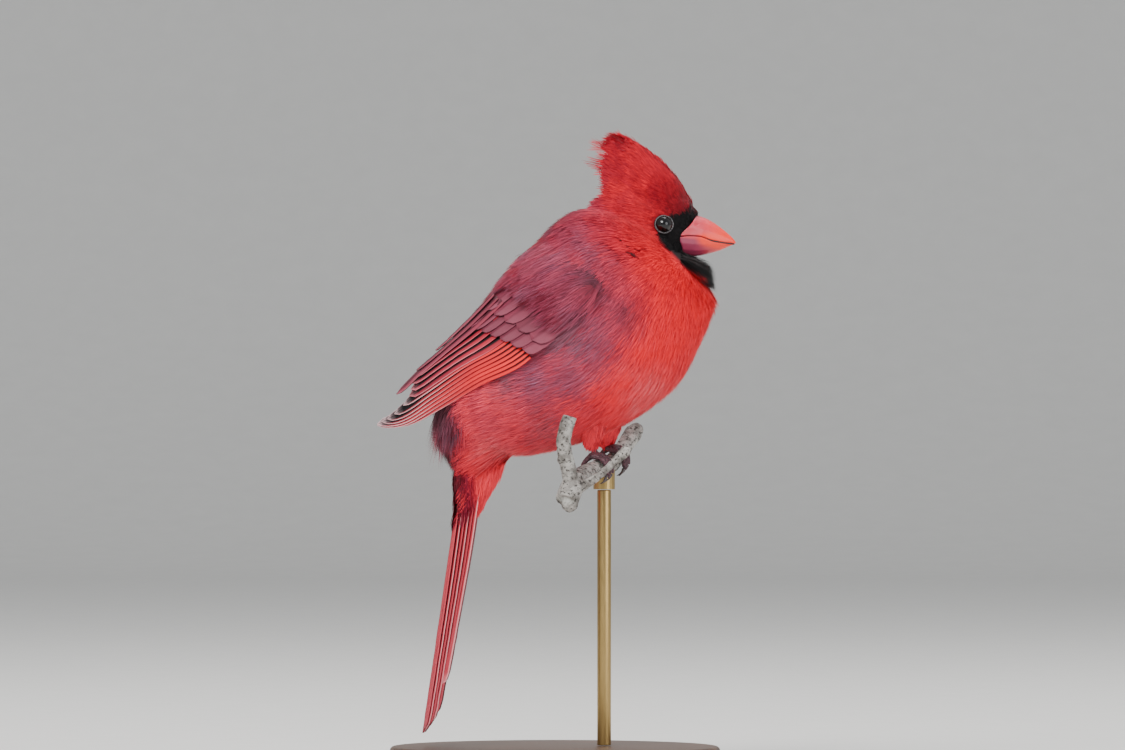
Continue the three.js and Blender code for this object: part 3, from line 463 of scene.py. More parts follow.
def grow_feathers(name, roots, out, ahead, length, lift, width, body, tip, fan=0.24, barbs=BARBS, soft=True):
    """One mesh of small feathers, each a fan of barbs. A barb is a strip of two quads and a point.

    Soft feathers are shaded as the skin under them is, and the others as their own faces lie.
    """
    count = len(roots)
    ahead = ahead - out * (ahead * out).sum(1, keepdims=True)
    ahead /= np.linalg.norm(ahead, axis=1, keepdims=True) + 1e-9
    twist = chance.normal(0, 0.08, count)[:, None]
    side = np.cross(out, ahead)
    ahead, side = ahead + side * twist, side - ahead * twist
    spread = np.linspace(-1, 1, barbs)[None, :] + chance.normal(0, 0.12, (count, barbs))
    reach = (length[:, None] * (1 - 0.2 * spread**2) * chance.normal(1, 0.07, (count, barbs)))[..., None]
    stray = np.where(chance.random((count, barbs)) < 0.02, chance.uniform(0.2, 0.9, (count, barbs)), 0)
    rise = (lift[:, None] * chance.normal(1, 0.14, (count, barbs)) * (1 - 0.2 * spread**2) + stray)[..., None]
    heading = ahead[:, None] + side[:, None] * (fan * spread)[..., None]
    rooted = roots[:, None] + side[:, None] * (spread * width[:, None] * 0.32)[..., None]
    half = 0.075 + 0.032 * width[:, None, None] * np.ones((1, barbs, 1))
    across = np.cross(out[:, None], heading)
    across /= np.linalg.norm(across, axis=2, keepdims=True) + 1e-9
    rings = []
    for t, thick in ((0.0, 0.8), (0.42, 1.0), (0.84, 0.7), (1.0, 0.0)):
        bow = rise * (t * (1 + DROOP) - DROOP * t * t)
        bulge = side[:, None] * (spread * width[:, None] * 0.3 * math.sin(math.pi * min(t, 0.9)))[..., None]
        centre = rooted + heading * reach * t + out[:, None] * bow + bulge
        rings += [centre - across * half * thick, centre + across * half * thick] if thick else [centre]
    points = np.stack(rings, 2).reshape(-1, 3)
    start = (np.arange(count * barbs) * 7)[:, None]
    strip = ((0, 3, 1), (0, 2, 3), (2, 5, 3), (2, 4, 5), (4, 6, 5))
    faces = np.concatenate([start + corners for corners in strip], 1).reshape(-1, 3)
    shade = chance.normal(1, 0.06, (count, 1, 1, 1)) * chance.normal(1, 0.05, (count, barbs, 1, 1))
    warm = 1 + chance.normal(0, 0.035, (count, 1, 1, 1)) * np.array((0.4, -1.2, -1.0))
    along = np.array([0.0, 0.0, 0.42, 0.42, 0.84, 0.84, 1.0])[None, None, :, None]
    colours = body[:, None, None] * (0.78 + 0.22 * np.minimum(along / 0.5, 1)) + (tip - body)[:, None, None] * along**2
    colours = np.clip(colours * shade * warm, 3, 250).reshape(-1, 3)
    smooth = np.repeat((out + 0.25 * ahead)[:, None, None], barbs, 1).repeat(7, 2)
    smooth = smooth + (across * 0.45 * spread[..., None])[:, :, None]
    where = unrolled(roots)
    shape = (count, barbs, 7)
    patch = np.stack([np.broadcast_to(spread[..., None] * 0.4, shape), np.broadcast_to(along[..., 0] - 0.5, shape)], -1)
    patch = (where[:, None, None] + 0.003 * patch).reshape(-1, 2)
    return mesh_piece(name, points * 0.001, faces, colours, smooth.reshape(-1, 3) if soft else None, patch)


def mesh_piece(name, points, faces, colours, normals, where):
    """A mesh of triangles with its colours, its soft normals and its map."""
    mesh = bpy.data.meshes.new(name)
    mesh.vertices.add(len(points))
    mesh.vertices.foreach_set("co", points.astype(np.float32).ravel())
    mesh.loops.add(faces.size)
    mesh.loops.foreach_set("vertex_index", faces.astype(np.int32).ravel())
    mesh.polygons.add(len(faces))
    mesh.polygons.foreach_set("loop_start", np.arange(0, faces.size, 3, dtype=np.int32))
    mesh.polygons.foreach_set("use_smooth", np.ones(len(faces), bool))
    mesh.update(calc_edges=True)
    layer = mesh.uv_layers.new(name="OFBake")
    layer.data.foreach_set("uv", where[faces.ravel()].astype(np.float32).ravel())
    if normals is not None:
        normals = normals / (np.linalg.norm(normals, axis=1, keepdims=True) + 1e-9)
        mesh.normals_split_custom_set_from_vertices(normals.astype(np.float32))
    piece = bpy.data.objects.new(name, mesh)
    bpy.context.scene.collection.objects.link(piece)
    paint(piece, colours)
    return piece


# The folded wing lies on a surface of its own, which follows the body and then narrows to the wing tip. The coat has
# to leave it free, so that surface comes first: each row is a back (x, z), a lower edge (x, z) and a half width.
WING_LINE = [
    (-65.0, 126.6, -62.2, 121.6, 4.5), (-58.4, 132.6, -47.2, 119.4, 9.0), (-49.6, 142.2, -30.6, 123.0, 17.0),
    (-38.6, 152.4, -11.9, 127.4, 27.2), (-28.6, 163.2, 13.3, 124.9, 34.0), (-18.4, 174.9, 32.4, 129.2, 35.0),
    (-8.4, 187.0, 47.2, 143.6, 34.2), (1.0, 196.8, 54.4, 160.6, 31.2),
]
wing_grid = np.meshgrid(np.linspace(0, 7, 71), np.radians(np.linspace(0, 125, 64)), indexing="ij")
wing_places, wing_angles = (side.ravel() for side in wing_grid)
wing_points = on_stations(WING_LINE, wing_places, wing_angles)
wing_tree = kdtree.KDTree(len(wing_points))
for index, point in enumerate(wing_points):
    wing_tree.insert(point, index)
wing_tree.balance()


def on_wing(points):
    """Where each point is on the wing: its place, its angle in degrees, how far off it lies, and the nearest point."""
    found = [wing_tree.find((x, abs(y), z)) for x, y, z in points]
    index = np.array([f[1] for f in found])
    near = wing_points[index] * np.c_[np.ones(len(points)), np.sign(points[:, 1]), np.ones(len(points))]
    return wing_places[index], np.degrees(wing_angles[index]), np.array([f[2] for f in found]), near


WING_DEPTH = 9  # how far off that surface the wing's own feathers still cover the body, in millimetres
COVERTS_END = 5.4  # the place on it where the foremost coverts begin


def under_wing(points):
    """No feather grows where the wing's own feathers cover the body."""
    place, angle, apart, _ = on_wing(points)
    on_vanes = (angle > 16) & (angle < 78 - 3 * np.maximum(0, 2 - place))
    return ~((apart < WING_DEPTH) & (place < COVERTS_END) & on_vanes)


def bill_plane(points):
    """How far each point lies in front of the slanting plane where the bill leaves the face."""
    return (points[:, 0] - 50.0) * 0.932 + (points[:, 2] - 197.0) * -0.364


def from_face(points):
    """How far each point is from the middle of the face."""
    return np.linalg.norm(points - FACE, axis=1)


def face_parts(points):
    """No feather grows in the eye, inside the bill or where the root of the bill shows."""
    off_eye = np.linalg.norm((folded(points) - EYE) * (1, 0.15, 1), axis=1) > EYE_OPENING
    in_bill = (bill_plane(points) > 0.9) & (points[:, 2] > 186)
    return off_eye & ~in_bill & (inside_outline(points[:, 0], points[:, 2], BILL_ROOT) < -0.2)


# The face narrows in front of the eyes, where the root of the bill stands out of it.
skin_points = points_of(skin)
in_front = np.clip((skin_points[:, 0] - 42) / 3, 0, 1)
over_chin, under_crown = np.clip((skin_points[:, 2] - 184) / 3, 0, 1), np.clip((202 - skin_points[:, 2]) / 3, 0, 1)
skin_points[:, 1] *= 1 - 0.17 * (in_front * over_chin * under_crown)
move_points(skin, skin_points)


# Feathers stand closest on the face.
roots, out = scattered(
    skin, FEATHERS,
    lambda p: np.interp(from_face(p), (8, 16, 30, 45), (0.55, 0.72, 0.95, 1.15)),
    lambda c: under_wing(c) * face_parts(c) * np.interp(from_face(c), (8, 18, 34, 50), (5, 3.2, 2.0, 1.0)),
)
flow, length, lift, body_colour = plumage_at(roots)
tip_colour = body_colour * 1.05 + 4

# Feathers of the shoulder stand on top of the wing's foremost coverts.
place, angle, apart, near = on_wing(roots)
raised = np.interp(place, (5.0, COVERTS_END, 6.1, 6.9), (0, 1, 0.75, 0))
raised *= np.interp(angle, (8, 18, 74, 84), (0, 1, 1, 0))
raised = (raised * (apart < WING_DEPTH))[:, None]
roots = roots * (1 - raised) + (near + out * 2.2) * raised
length *= 1 - 0.3 * raised[:, 0]

# Close to the bill and the eye feathers are very short, and the black mask runs from the eye round the bill.
near_bill = np.linalg.norm(roots - (51, 0, 195), axis=1)
near_eye = np.linalg.norm(folded(roots) - EYE, axis=1)
bristle = (bill_plane(roots) > -2.6) & (roots[:, 2] > 198.4)
flow[bristle] = (0.9, 0, -0.3)
length *= np.interp(near_bill, (6, 16), (0.42, 1)) * np.interp(near_eye, (4, 9), (0.4, 1))
lift *= np.interp(near_eye, (4, 8), (0.35, 1))
masked = inside_outline(roots[:, 0], roots[:, 2], MASK)

# The bib under the bill is of bristles that stand forward, over short ones that lie down the throat.
bib = (masked > -0.5) & (roots[:, 2] < 187.5) & (roots[:, 0] > 45)
above = roots[bib, 2] - 174.5
laid = ((chance.random(bib.sum()) < 0.5) | (above < 5))[:, None]
standing = np.clip(above * chance.uniform(0.8, 1.9, bib.sum()), 3.0, 10.5)
length[bib] = np.where(laid[:, 0], np.clip(above * 0.6, 1.5, 5), standing)
lift[bib] = np.where(laid[:, 0], 0.6, np.clip(above * 0.3, 0.6, 3.2) * chance.uniform(0.4, 1.2, bib.sum()))
flow[bib] = np.where(laid, (0.1, 0, -1.0), (0.92, 0, -0.34))
soot = np.array(DYES["soot"])
ink = np.clip(masked / 0.7 + 0.5 + chance.normal(0, 0.25, len(roots)), 0, 1)[:, None]
body_colour = body_colour * (1 - ink) + soot * ink
tip_colour = tip_colour * (1 - ink) + (soot + 8) * ink

# Painted shade: a dark line under the cheek, where its feathers part from the neck's and the crease between them lies
# in shadow.
FOLD_SHADE, FOLD_SHADE_TIP = np.array((34, 8, 12)), np.array((50, 12, 16))
for fold in FOLDS:
    line = through(fold, np.linspace(0, len(fold) - 1, 60))
    apart = np.linalg.norm(roots[:, None, [0, 2]] - line[None], axis=2).min(1)
    dark = (np.clip(1.35 - apart / 0.75, 0, 1) * (np.abs(roots[:, 1]) > 8))[:, None]
    body_colour = body_colour * (1 - dark) + FOLD_SHADE * dark
    tip_colour = tip_colour * (1 - dark) + FOLD_SHADE_TIP * dark
    length *= 1 - 0.6 * dark[:, 0]
    lift *= 1 - 0.7 * dark[:, 0]

# Soft patches on the breast and flank: the pale pink ones are painted highlights, where light catches the feathers'
# sheen; the others are greyer and darker patches.
PATCHES_AND_HIGHLIGHTS = (
    ((40.5, 149.0), 4.5, "painted_highlight"), ((35.5, 140.0), 4.0, "painted_highlight"), ((10.5, 160.0), 5.0, "ash"),
    ((-8.0, 143.0), 4.0, "ash"), ((46.0, 138.0), 4.0, "painted_highlight"), ((17.0, 176.0), 4.0, "dusk"),
    ((-14.0, 118.0), 5.0, "painted_highlight"), ((6.0, 128.0), 4.5, "ash"),
)
for (x, z), wide, colour in PATCHES_AND_HIGHLIGHTS:
    patch = 0.6 * np.exp(-((roots[:, 0] - x) ** 2 + (roots[:, 2] - z) ** 2) / (2 * wide**2)) * (np.abs(roots[:, 1]) > 8)
    patch = (patch * chance.uniform(0.2, 1.4, len(roots)))[:, None]
    tip_colour = tip_colour * (1 - patch) + np.array(DYES[colour]) * patch
    body_colour = body_colour * (1 - patch * 0.6) + np.array(DYES[colour]) * patch * 0.6

# The crest is a flat wedge, so its feathers face the sides more than its rounded core does.
wedge = (np.clip((roots[:, 2] - 205) / 6, 0, 1) * np.clip(np.abs(roots[:, 1]) / 4 - 0.3, 0, 1))[:, None]
out = out * (1 - wedge * (0.35, -0.5, 0.2))
out /= np.linalg.norm(out, axis=1, keepdims=True)
width = np.clip(length * 0.24, 0.5, 2.6)

# The coat is made in eight pieces. The first region that holds a root takes it.
REGIONS = {
    "coat_crest": lambda p: (p[:, 2] > 203.4) & (p[:, 0] > 12),
    "coat_face": lambda p: (p[:, 2] > 180) & (p[:, 0] > 33),
    "coat_nape": lambda p: (p[:, 2] > 180) & (p[:, 0] > 10),
    "coat_back": lambda p: (p[:, 2] - 150 > (p[:, 0] + 10) * 0.9) | (p[:, 0] < -28),
    "coat_breast_left": lambda p: (p[:, 0] > 22) & (p[:, 1] > 0),
    "coat_breast_right": lambda p: p[:, 0] > 22,
    "coat_flank_left": lambda p: p[:, 1] > 0,
    "coat_flank_right": lambda p: p[:, 1] <= 0,
}
# Where feathers would point straight out of the skin, or stand on the crest's thin rear edge, none grow.
along_skin = flow - out * (flow * out).sum(1, keepdims=True)
LEAST_ALONG = 0.38
left_over = (np.linalg.norm(along_skin, axis=1) > LEAST_ALONG) & ~((roots[:, 2] > 205) & (out[:, 0] < -0.3))
coat = []
for name, region in REGIONS.items():
    here = left_over & region(roots)
    left_over &= ~here
    facts = [values[here] for values in (roots, out, flow, length, lift, width, body_colour, tip_colour)]
    coat.append(grow_feathers(name, *facts, soft=name != "coat_crest"))

# The fold's painted shade: short dark barbs laid along the crease, over the ends of the cheek's feathers.
FAR_OUT = 60
fold_roots, fold_out, fold_ahead = [], [], []
for fold in FOLDS:
    line = through(fold, np.linspace(0, len(fold) - 1, 26))
    for (x, z), (ax, az) in zip(line[:-1], np.diff(line, axis=0)):
        for side in (-FAR_OUT, FAR_OUT):
            _, at, normal, _ = skin.ray_cast(Vector((x, side, z)) * 0.001, Vector((0, -side, 0)))
            normal = np.array(normal)
            fold_roots.append(np.array(at) * 1000 + normal * chance.uniform(0.9, 1.8))
            fold_out.append(normal)
            fold_ahead.append((-ax, 0, -az))
fold_count = len(fold_roots)
coat.append(grow_feathers(
    "cheek_fold_shade", np.array(fold_roots), np.array(fold_out), np.array(fold_ahead), chance.uniform(1.4, 3.2, fold_count),
    np.full(fold_count, 0.2), np.full(fold_count, 0.3), np.tile((36, 6, 10), (fold_count, 1)),
    np.tile((84, 12, 20), (fold_count, 1)), fan=0.12, barbs=4,
))

# The skin between the feathers has their colour, darker, as it lies in their shade.
under_colour = plumage_at(skin_points, False)[3]
skin_mask = np.clip(inside_outline(skin_points[:, 0], skin_points[:, 2], MASK) + 0.5, 0, 1)[:, None]
paint(skin, np.clip(under_colour * 0.78 * (1 - skin_mask) + soot * skin_mask, 0, 255))
skin.data.materials.clear()
skin.data.materials.append(soft_plumage)
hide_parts("torso", "neck", "head", "crest")
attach(skin, "root")
for piece in coat:
    piece.data.materials.append(soft_plumage)
    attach(piece, "root")


# Wings: flight feathers and their coverts, each a thin vane of horn with a shaft, laid like shingles from the wing tip
# forward. A vane is red on its outer web, with a pale rim near the tip, and darkest on its inner web, which the next
# feather hides: that web is dusky in itself, and its near black is painted shade.
# Each is a closed plate, bent along a path on the wing's surface, and one wing is made of all of its plates.
VANE_COLUMNS = 13
SHAFT_RIDGE = 0.12
BUNDLE = 8  # feathers side by side on one row of the wing's map


def vane_grid(paths, outs, half_out, half_in, tilt, camber):
    """Points of one feather: a grid along the shaft and across the two webs."""
    ahead = np.gradient(paths, axis=0)
    ahead /= np.linalg.norm(ahead, axis=1, keepdims=True)
    up = outs - ahead * (outs * ahead).sum(1, keepdims=True)
    up /= np.linalg.norm(up, axis=1, keepdims=True)
    side = np.cross(ahead, up)
    up, side = up * math.cos(tilt) - side * math.sin(tilt), side * math.cos(tilt) + up * math.sin(tilt)
    across = np.linspace(-1, 1, VANE_COLUMNS)[None]
    reach = np.where(across > 0, half_out[:, None], half_in[:, None]) * across
    height = -camber * np.abs(across) ** 1.6 * (half_out + half_in)[:, None] / 2
    height = height + SHAFT_RIDGE * np.exp(-((across / 0.12) ** 2))
    return paths[:, None] + side[:, None] * reach[..., None] + up[:, None] * height[..., None], up


def closed_vane(top, up, thick):
    """A thin closed plate from the grid of its upper face."""
    rows, columns = top.shape[:2]
    under = top - up[:, None] * thick
    points = np.concatenate([top.reshape(-1, 3), under.reshape(-1, 3)])
    index = np.arange(rows * columns).reshape(rows, columns)
    a, b, c, d = (part.ravel() for part in (index[:-1, :-1], index[:-1, 1:], index[1:, 1:], index[1:, :-1]))
    lower = rows * columns
    faces = [np.c_[a, b, c], np.c_[a, c, d], lower + np.c_[a, c, b], lower + np.c_[a, d, c]]
    rim = np.concatenate([index[0, :], index[1:, -1], index[-1, -2::-1], index[-2:0:-1, 0]])
    after = np.roll(rim, -1)
    faces += [np.c_[rim, rim + lower, after + lower], np.c_[rim, after + lower, after]]
    return points, np.concatenate(faces)


def web_width(rows, root, widest, tip):
    """Half width along a feather: narrow root, full middle, rounded tip."""
    t = np.linspace(0, 1, rows)
    swell = root + (1 - root) * np.sin(np.minimum(t / 0.45, 1) * math.pi / 2)
    close = np.where(t < 1 - tip, 1, np.sqrt(np.clip(1 - ((t - 1 + tip) / tip) ** 2, 0, 1)) * 0.94 + 0.06)
    return widest * swell * close


def vane_colours(rows, kind):
    """The colours over one feather, from 0 to 255."""
    t = np.linspace(0, 1, rows)[:, None, None]
    across = np.linspace(-1, 1, VANE_COLUMNS)[None, :, None]
    outer = np.array(kind["outer"]) * (1 - t) + np.array(kind["outer_tip"]) * t
    inner = np.array(kind["inner"]) * np.ones_like(t)
    shaft = np.array(kind["shaft"])
    mix = 1 / (1 + np.exp(-(across - kind["edge"] - kind["gap"] * t**1.4) / 0.045))
    colour = inner * (1 - mix) + outer * mix
    rim = np.clip((np.abs(across) - kind["inside"] + 0.05 * t) / 0.07, 0, 1) * kind["rim"]
    rim = np.maximum(rim * np.clip((t - kind["from"]) / 0.35, 0, 1), np.clip((t - 0.93) / 0.06, 0, 1) * kind["rim"])
    colour = colour * (1 - rim) + np.array(kind["pale"]) * rim
    quill = np.exp(-((across / 0.07) ** 2)) * 0.8
    return colour * (1 - quill) + shaft * quill


def feather_set(name, feathers, mirror=False):
    """Joins many vanes into one mesh. Each feather tells its path, its sizes and its colours."""
    points, faces, colours, where, barbs = [], [], [], [], []
    for number, f in enumerate(feathers):
        rows = len(f["path"])
        wide = web_width(rows, 0.55, f["half"], f.get("tip", 0.16))
        top, up = vane_grid(
            f["path"], f["out"], wide * f.get("outer_share", 0.8), wide * f.get("inner_share", 1.2), f["tilt"],
            f.get("camber", 0.1),
        )
        wave = chance.normal(0, 0.05, (rows, 1, 1)) * up[:, None] * np.linspace(0, 1, rows)[:, None, None]
        made, made_faces = closed_vane(top + wave, up, f.get("thick", 0.16))
        faces.append(made_faces + sum(len(p) for p in points))
        points.append(made)
        shade = chance.normal(1, 0.05)
        tint = vane_colours(rows, f["kind"])[:, :: -1 if f.get("flip") else 1]
        tint = np.clip(tint.reshape(-1, 3) * shade, 2, 250)
        # Each plate's under face takes six tenths of its upper face's colours: painted shade for the side turned to the
        # body.
        colours.append(np.concatenate([tint, tint * 0.6]))
        t, u = np.meshgrid(np.linspace(0, 1, rows), np.linspace(-1, 1, VANE_COLUMNS), indexing="ij")
        t, u = t.ravel(), u.ravel()
        long = np.linalg.norm(f["path"][-1] - f["path"][0])
        cell = np.array([(number % BUNDLE) / BUNDLE, (number // BUNDLE) / BUNDLE])
        patch = cell + np.stack([0.006 + 0.113 * (u + 1) / 2, 0.006 + 0.113 * t], -1)
        where.append(np.concatenate([patch, patch]))
        barb = np.stack([t * long, np.abs(u) * f["half"]], -1)
        barbs.append(np.concatenate([barb, barb]))
    points, faces = np.concatenate(points), np.concatenate(faces)
    if mirror:
        points = points * (1, -1, 1)
        faces = faces[:, ::-1]
    piece = mesh_piece(name, points * 0.001, faces, np.concatenate(colours), None, np.concatenate(where))
    layer = piece.data.uv_layers.new(name="barbs")
    layer.data.foreach_set("uv", np.concatenate(barbs)[faces.ravel()].astype(np.float32).ravel())
    turn_out(piece)
    return piece


def vane_finish():
    """Flight feathers: the painted colour with fine slanting barbs, smooth and a little glossy."""
    material, tree, shader = new_finish("flight feather", Specular_IOR_Level=0.2)
    painted = add_node(tree, "ShaderNodeAttribute", {"attribute_name": "plume"}, {}, 0)
    along, across, _ = add_node(tree, "ShaderNodeUVMap", {"uv_map": "barbs"}).parts()
    line = ((along + across * -0.9) * 14.0).math("SINE") * 0.5 + 0.5
    where = on_object(tree)
    fine = speckle(tree, where, 700.0)
    broad = speckle(tree, where, 160.0)
    shade = 0.78 + line * 0.12 + fine * 0.16 + broad * 0.16
    colour = add_node(tree, "ShaderNodeHueSaturation", {}, {"Value": shade, "Color": painted})
    feed(tree, shader, Base_Color=colour, Roughness=0.42 + fine * 0.2, Normal=bumped(tree, line, 0.35, 0.0002))
    return material


flight_feather = vane_finish()
# The inner webs of primaries and secondaries are dusky in themselves; their near black is painted shade, as the
# feathers over them hide them.
PRIMARY = {
    "outer": (246, 36, 40), "outer_tip": (178, 56, 72), "inner": (9, 6, 8), "shaft": (16, 8, 11),
    "pale": (248, 208, 210), "edge": 0.3, "gap": 0.52, "rim": 0.95, "inside": 0.9, "from": 0.34,
}
SECONDARY = {
    "outer": (184, 32, 50), "outer_tip": (156, 48, 66), "inner": (14, 8, 11), "shaft": (24, 12, 15),
    "pale": (236, 140, 150), "edge": 0.2, "gap": 0.4, "rim": 0.85, "inside": 0.88, "from": 0.08,
}
TERTIAL = {
    "outer": (144, 52, 70), "outer_tip": (146, 60, 76), "inner": (96, 36, 50), "shaft": (30, 14, 18),
    "pale": (196, 116, 128), "edge": 0.3, "gap": 0.2, "rim": 0.6, "inside": 0.9, "from": 0.15,
}
COVERT = {
    "outer": (136, 56, 74), "outer_tip": (132, 64, 80), "inner": (126, 50, 68), "shaft": (108, 42, 58),
    "pale": (150, 84, 98), "edge": 0.1, "gap": 0.0, "rim": 0.16, "inside": 0.92, "from": 0.3,
}


def wing_path(start, end, high, rows=22, bow=0.0):
    """A shaft on the wing's surface from (place, degrees) at its root to its tip, at heights in millimetres."""
    t = np.linspace(0, 1, rows)
    place = start[0] + (end[0] - start[0]) * t
    angle = np.radians(start[1] + (end[1] - start[1]) * t + bow * np.sin(math.pi * t))
    here = on_stations(WING_LINE, place, angle)
    beside, below = on_stations(WING_LINE, place + 0.02, angle), on_stations(WING_LINE, place, angle + 0.02)
    out = np.cross(beside - here, below - here)
    out /= np.linalg.norm(out, axis=1, keepdims=True)
    middle = sum(on_stations(WING_LINE, place, angle * 0 + turn) for turn in (0, math.pi)) / 2
    out *= np.sign((out * (here - middle)).sum(1, keepdims=True))
    return here + out * (high[0] + (high[1] - high[0]) * t)[:, None], out


def wing_feathers():
    """Seven primaries and four secondaries, three tertials over them, and two rows of coverts over their roots."""
    made = []

    def lay(kind, start, end, high, half, tilt, bow=0.0, rows=22, **more):
        path, out = wing_path(start, end, high, rows, bow)
        made.append({"path": path, "out": out, "half": half, "tilt": tilt, "kind": kind, **more})

    for i, tip in enumerate((1.25, 0.85, 0.5, 0.25, 0.05, 0.02, 0.45)):
        share = i / 6
        lay(
            PRIMARY, (4.45 - 0.25 * share, 59 + 19 * share), (tip, 56 + 30 * share),
            (0.9 - 0.4 * share, 1.7 - 1.0 * share), 2.7, 0.26, 1 + 3 * share,
            tip=0.3, outer_share=0.85, inner_share=1.1,
        )
    for i in range(4):
        share = i / 3
        lay(
            SECONDARY, (4.6, 37 + 18 * share), (1.95 - 0.4 * share, 29 + 21 * share),
            (1.3 - 0.4 * share, 2.3 - 0.5 * share), 3.3, 0.22, 2, tip=0.16, outer_share=0.9, inner_share=1.1,
        )
    for i, tip in enumerate((2.75, 2.1, 1.3)):
        lay(
            TERTIAL, (4.7, 20 + 6.5 * i), (tip, 13 + 6 * i), (2.9 - 0.25 * i, 2.8 - 0.25 * i), 3.7, 0.16,
            tip=0.24, outer_share=0.95,
        )
    for i in range(7):
        share = i / 6
        lay(
            COVERT, (5.1, 26 + 47 * share), (3.7 + 0.5 * share, 26 + 47 * share), (0.6, 2.5 - 0.5 * share), 4.6, 0.14,
            rows=16, tip=0.26, camber=0.05, thick=0.1,
        )
    for i in range(5):
        share = i / 4
        lay(
            COVERT, (5.7, 28 + 42 * share), (4.3 + 0.2 * share, 28 + 43 * share), (-1.0, 2.9 - 0.4 * share), 5.6, 0.1,
            rows=14, tip=0.3, camber=0.05, thick=0.1,
        )
    return made


for side, mirror in (("left", False), ("right", True)):
    wing = feather_set("wing_feathers_" + side, wing_feathers(), mirror)
    wing.data.materials.append(flight_feather)
    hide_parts("wing_" + side)
    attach(wing, "root")

# Tail: twelve long flight feathers of horn, stacked like a closed fan that hangs straight down. They grow from a
# fleshy root, which the coverts hide, and each lies a little under the next one towards the middle.
RECTRIX = {
    "outer": (196, 46, 60), "outer_tip": (178, 56, 70), "inner": (134, 30, 42), "shaft": (150, 36, 48),
    "pale": (244, 164, 168), "edge": 0.05, "gap": 0.1, "rim": 0.3, "inside": 0.92, "from": -0.3,
}
TAIL_ROOT = np.array((-29.6, 0, 110.6))
TAIL_DOWN = np.array((-0.168, 0, -0.986))
TAIL_BACK = np.array((-0.986, 0, 0.168))


def tail_feathers():
    """Six feathers on each side, the outermost the shortest."""
    made = []
    rows = 26
    t = np.linspace(0, 1, rows)[:, None]
    for side in (1, -1):
        for i, end in enumerate((98.4, 98.0, 97.0, 95.6, 92.8, 81.5)):
            down = 4 + (end - 4) * t
            depth = (3.4 - 0.95 * i - (0.42 if side > 0 else 0)) * (1.25 - 0.63 * t) - 0.6
            spread = side * (1.3 + 1.15 * i) * (0.45 + 0.55 * t)
            path = TAIL_ROOT + TAIL_DOWN * down + TAIL_BACK * depth + np.array((0, 1, 0)) * spread
            made.append({
                "path": path, "out": np.repeat(TAIL_BACK[None], rows, 0),
                "half": 5.2, "tilt": -side * (0.1 + 0.055 * i),
                "kind": {**RECTRIX, "rim": 0.9 if i in (1, 3, 5) else 0.2}, "tip": 0.09, "outer_share": 1.0,
                "inner_share": 1.0, "thick": 0.2, "camber": 0.16, "flip": side < 0,
            })
    return made


tail = feather_set("tail_feathers", tail_feathers())
tail.data.materials.append(flight_feather)
TAIL_STUMP = [
    (-34.0, 121.0, -14.0, 119.0, 10.5), (-35.6, 112.0, -18.4, 109.5, 9.2), (-36.0, 104.0, -22.6, 102.0, 7.4),
    (-36.2, 97.0, -26.0, 95.5, 5.8), (-37.0, 90.0, -29.6, 89.4, 4.4),
]
tail_stump = wrapped_sphere("tail_stump", TAIL_STUMP, lambda s: -0.8 + 0 * s, 36, 24)
# The stump is painted as the coverts over it, darker: painted shade, as it lies beneath them.
shaded_back = np.clip((-31.0 - points_of(tail_stump)[:, 0]) / 4 + 0.5, 0, 1)[:, None]
paint(tail_stump, np.array(DYES["coral"]) * 0.75 * (1 - shaded_back) + np.array(DYES["wine"]) * shaded_back)
tail_stump.data.materials.append(soft_plumage)
for piece in (tail, tail_stump):
    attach(piece, "root")
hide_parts("tail")

# Tail coverts: short body feathers that close in over the tail's root, soft and red on the side of the belly, looser on
# the side of the back, where their dark wine colour is painted shade. They are rooted all round the stump and lie down
# along the tail.
cover_roots, cover_out = scattered(
    tail_stump, 1500, lambda p: np.full(len(p), 0.62), lambda c: (c[:, 2] > 90.0) & (c[:, 2] < 115)
)
shaded_back = np.clip((-30.5 - cover_roots[:, 0]) / 4 + 0.5 + chance.normal(0, 0.12, len(cover_roots)), 0, 1)[:, None]
cover_body = np.array(DYES["coral"]) * (1 - shaded_back) + np.array(DYES["wine"]) * 1.15 * shaded_back
cover_tip = cover_body * 1.06 + 6 + shaded_back * (26, 30, 34) * chance.random((len(cover_roots), 1))
reach = np.clip((cover_roots[:, 2] - np.where(shaded_back[:, 0] > 0.5, 84, 88)) * 0.8, 2.5, 11)
cover_flow = (1 - shaded_back) * (-0.36, 0, -0.93) + shaded_back * (-0.08, 0, -1.0)
coverts = grow_feathers(
    "tail_coverts", cover_roots, cover_out, cover_flow, reach, np.full(len(cover_roots), 0.45),
    np.clip(reach * 0.24, 0.8, 2.4), cover_body, cover_tip, soft=False,
)
coverts.data.materials.append(soft_plumage)
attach(coverts, "root")

# Rump plumes: long loose feathers, soft as down, that grow on the lower back and hang behind the tail's root. They
# stick together in clumps, and their ends are thin and ragged.
plume_roots, plume_out = scattered(
    skin, 620, lambda p: np.full(len(p), 1.5), lambda c: (c[:, 0] < -34) & (c[:, 2] > 119) & (c[:, 2] < 141)
)
clump = np.array([noise.noise(Vector(p) * 0.35) for p in plume_roots * (0.3, 1, 0.1)])
plume_count = len(plume_roots)
hang = np.clip((plume_roots[:, 2] - 112 + 9 * clump) * chance.uniform(0.6, 1.05, plume_count), 6, 24)
plume_share = np.clip(0.5 + clump[:, None] + chance.normal(0, 0.2, (plume_count, 1)), 0, 1)
plume_body = np.array(DYES["dusk"]) * (1 - plume_share) + np.array(DYES["rose"]) * 0.8 * plume_share
plumes = grow_feathers(
    "rump_plumes", plume_roots, plume_out, np.tile((-0.1, 0, -1.0), (plume_count, 1)), hang,
    np.full(plume_count, 1.5), np.full(plume_count, 2.2), plume_body, plume_body * 1.1 + (14, 22, 26), 0.1, soft=False,
)
plumes.data.materials.append(soft_plumage)
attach(plumes, "root")

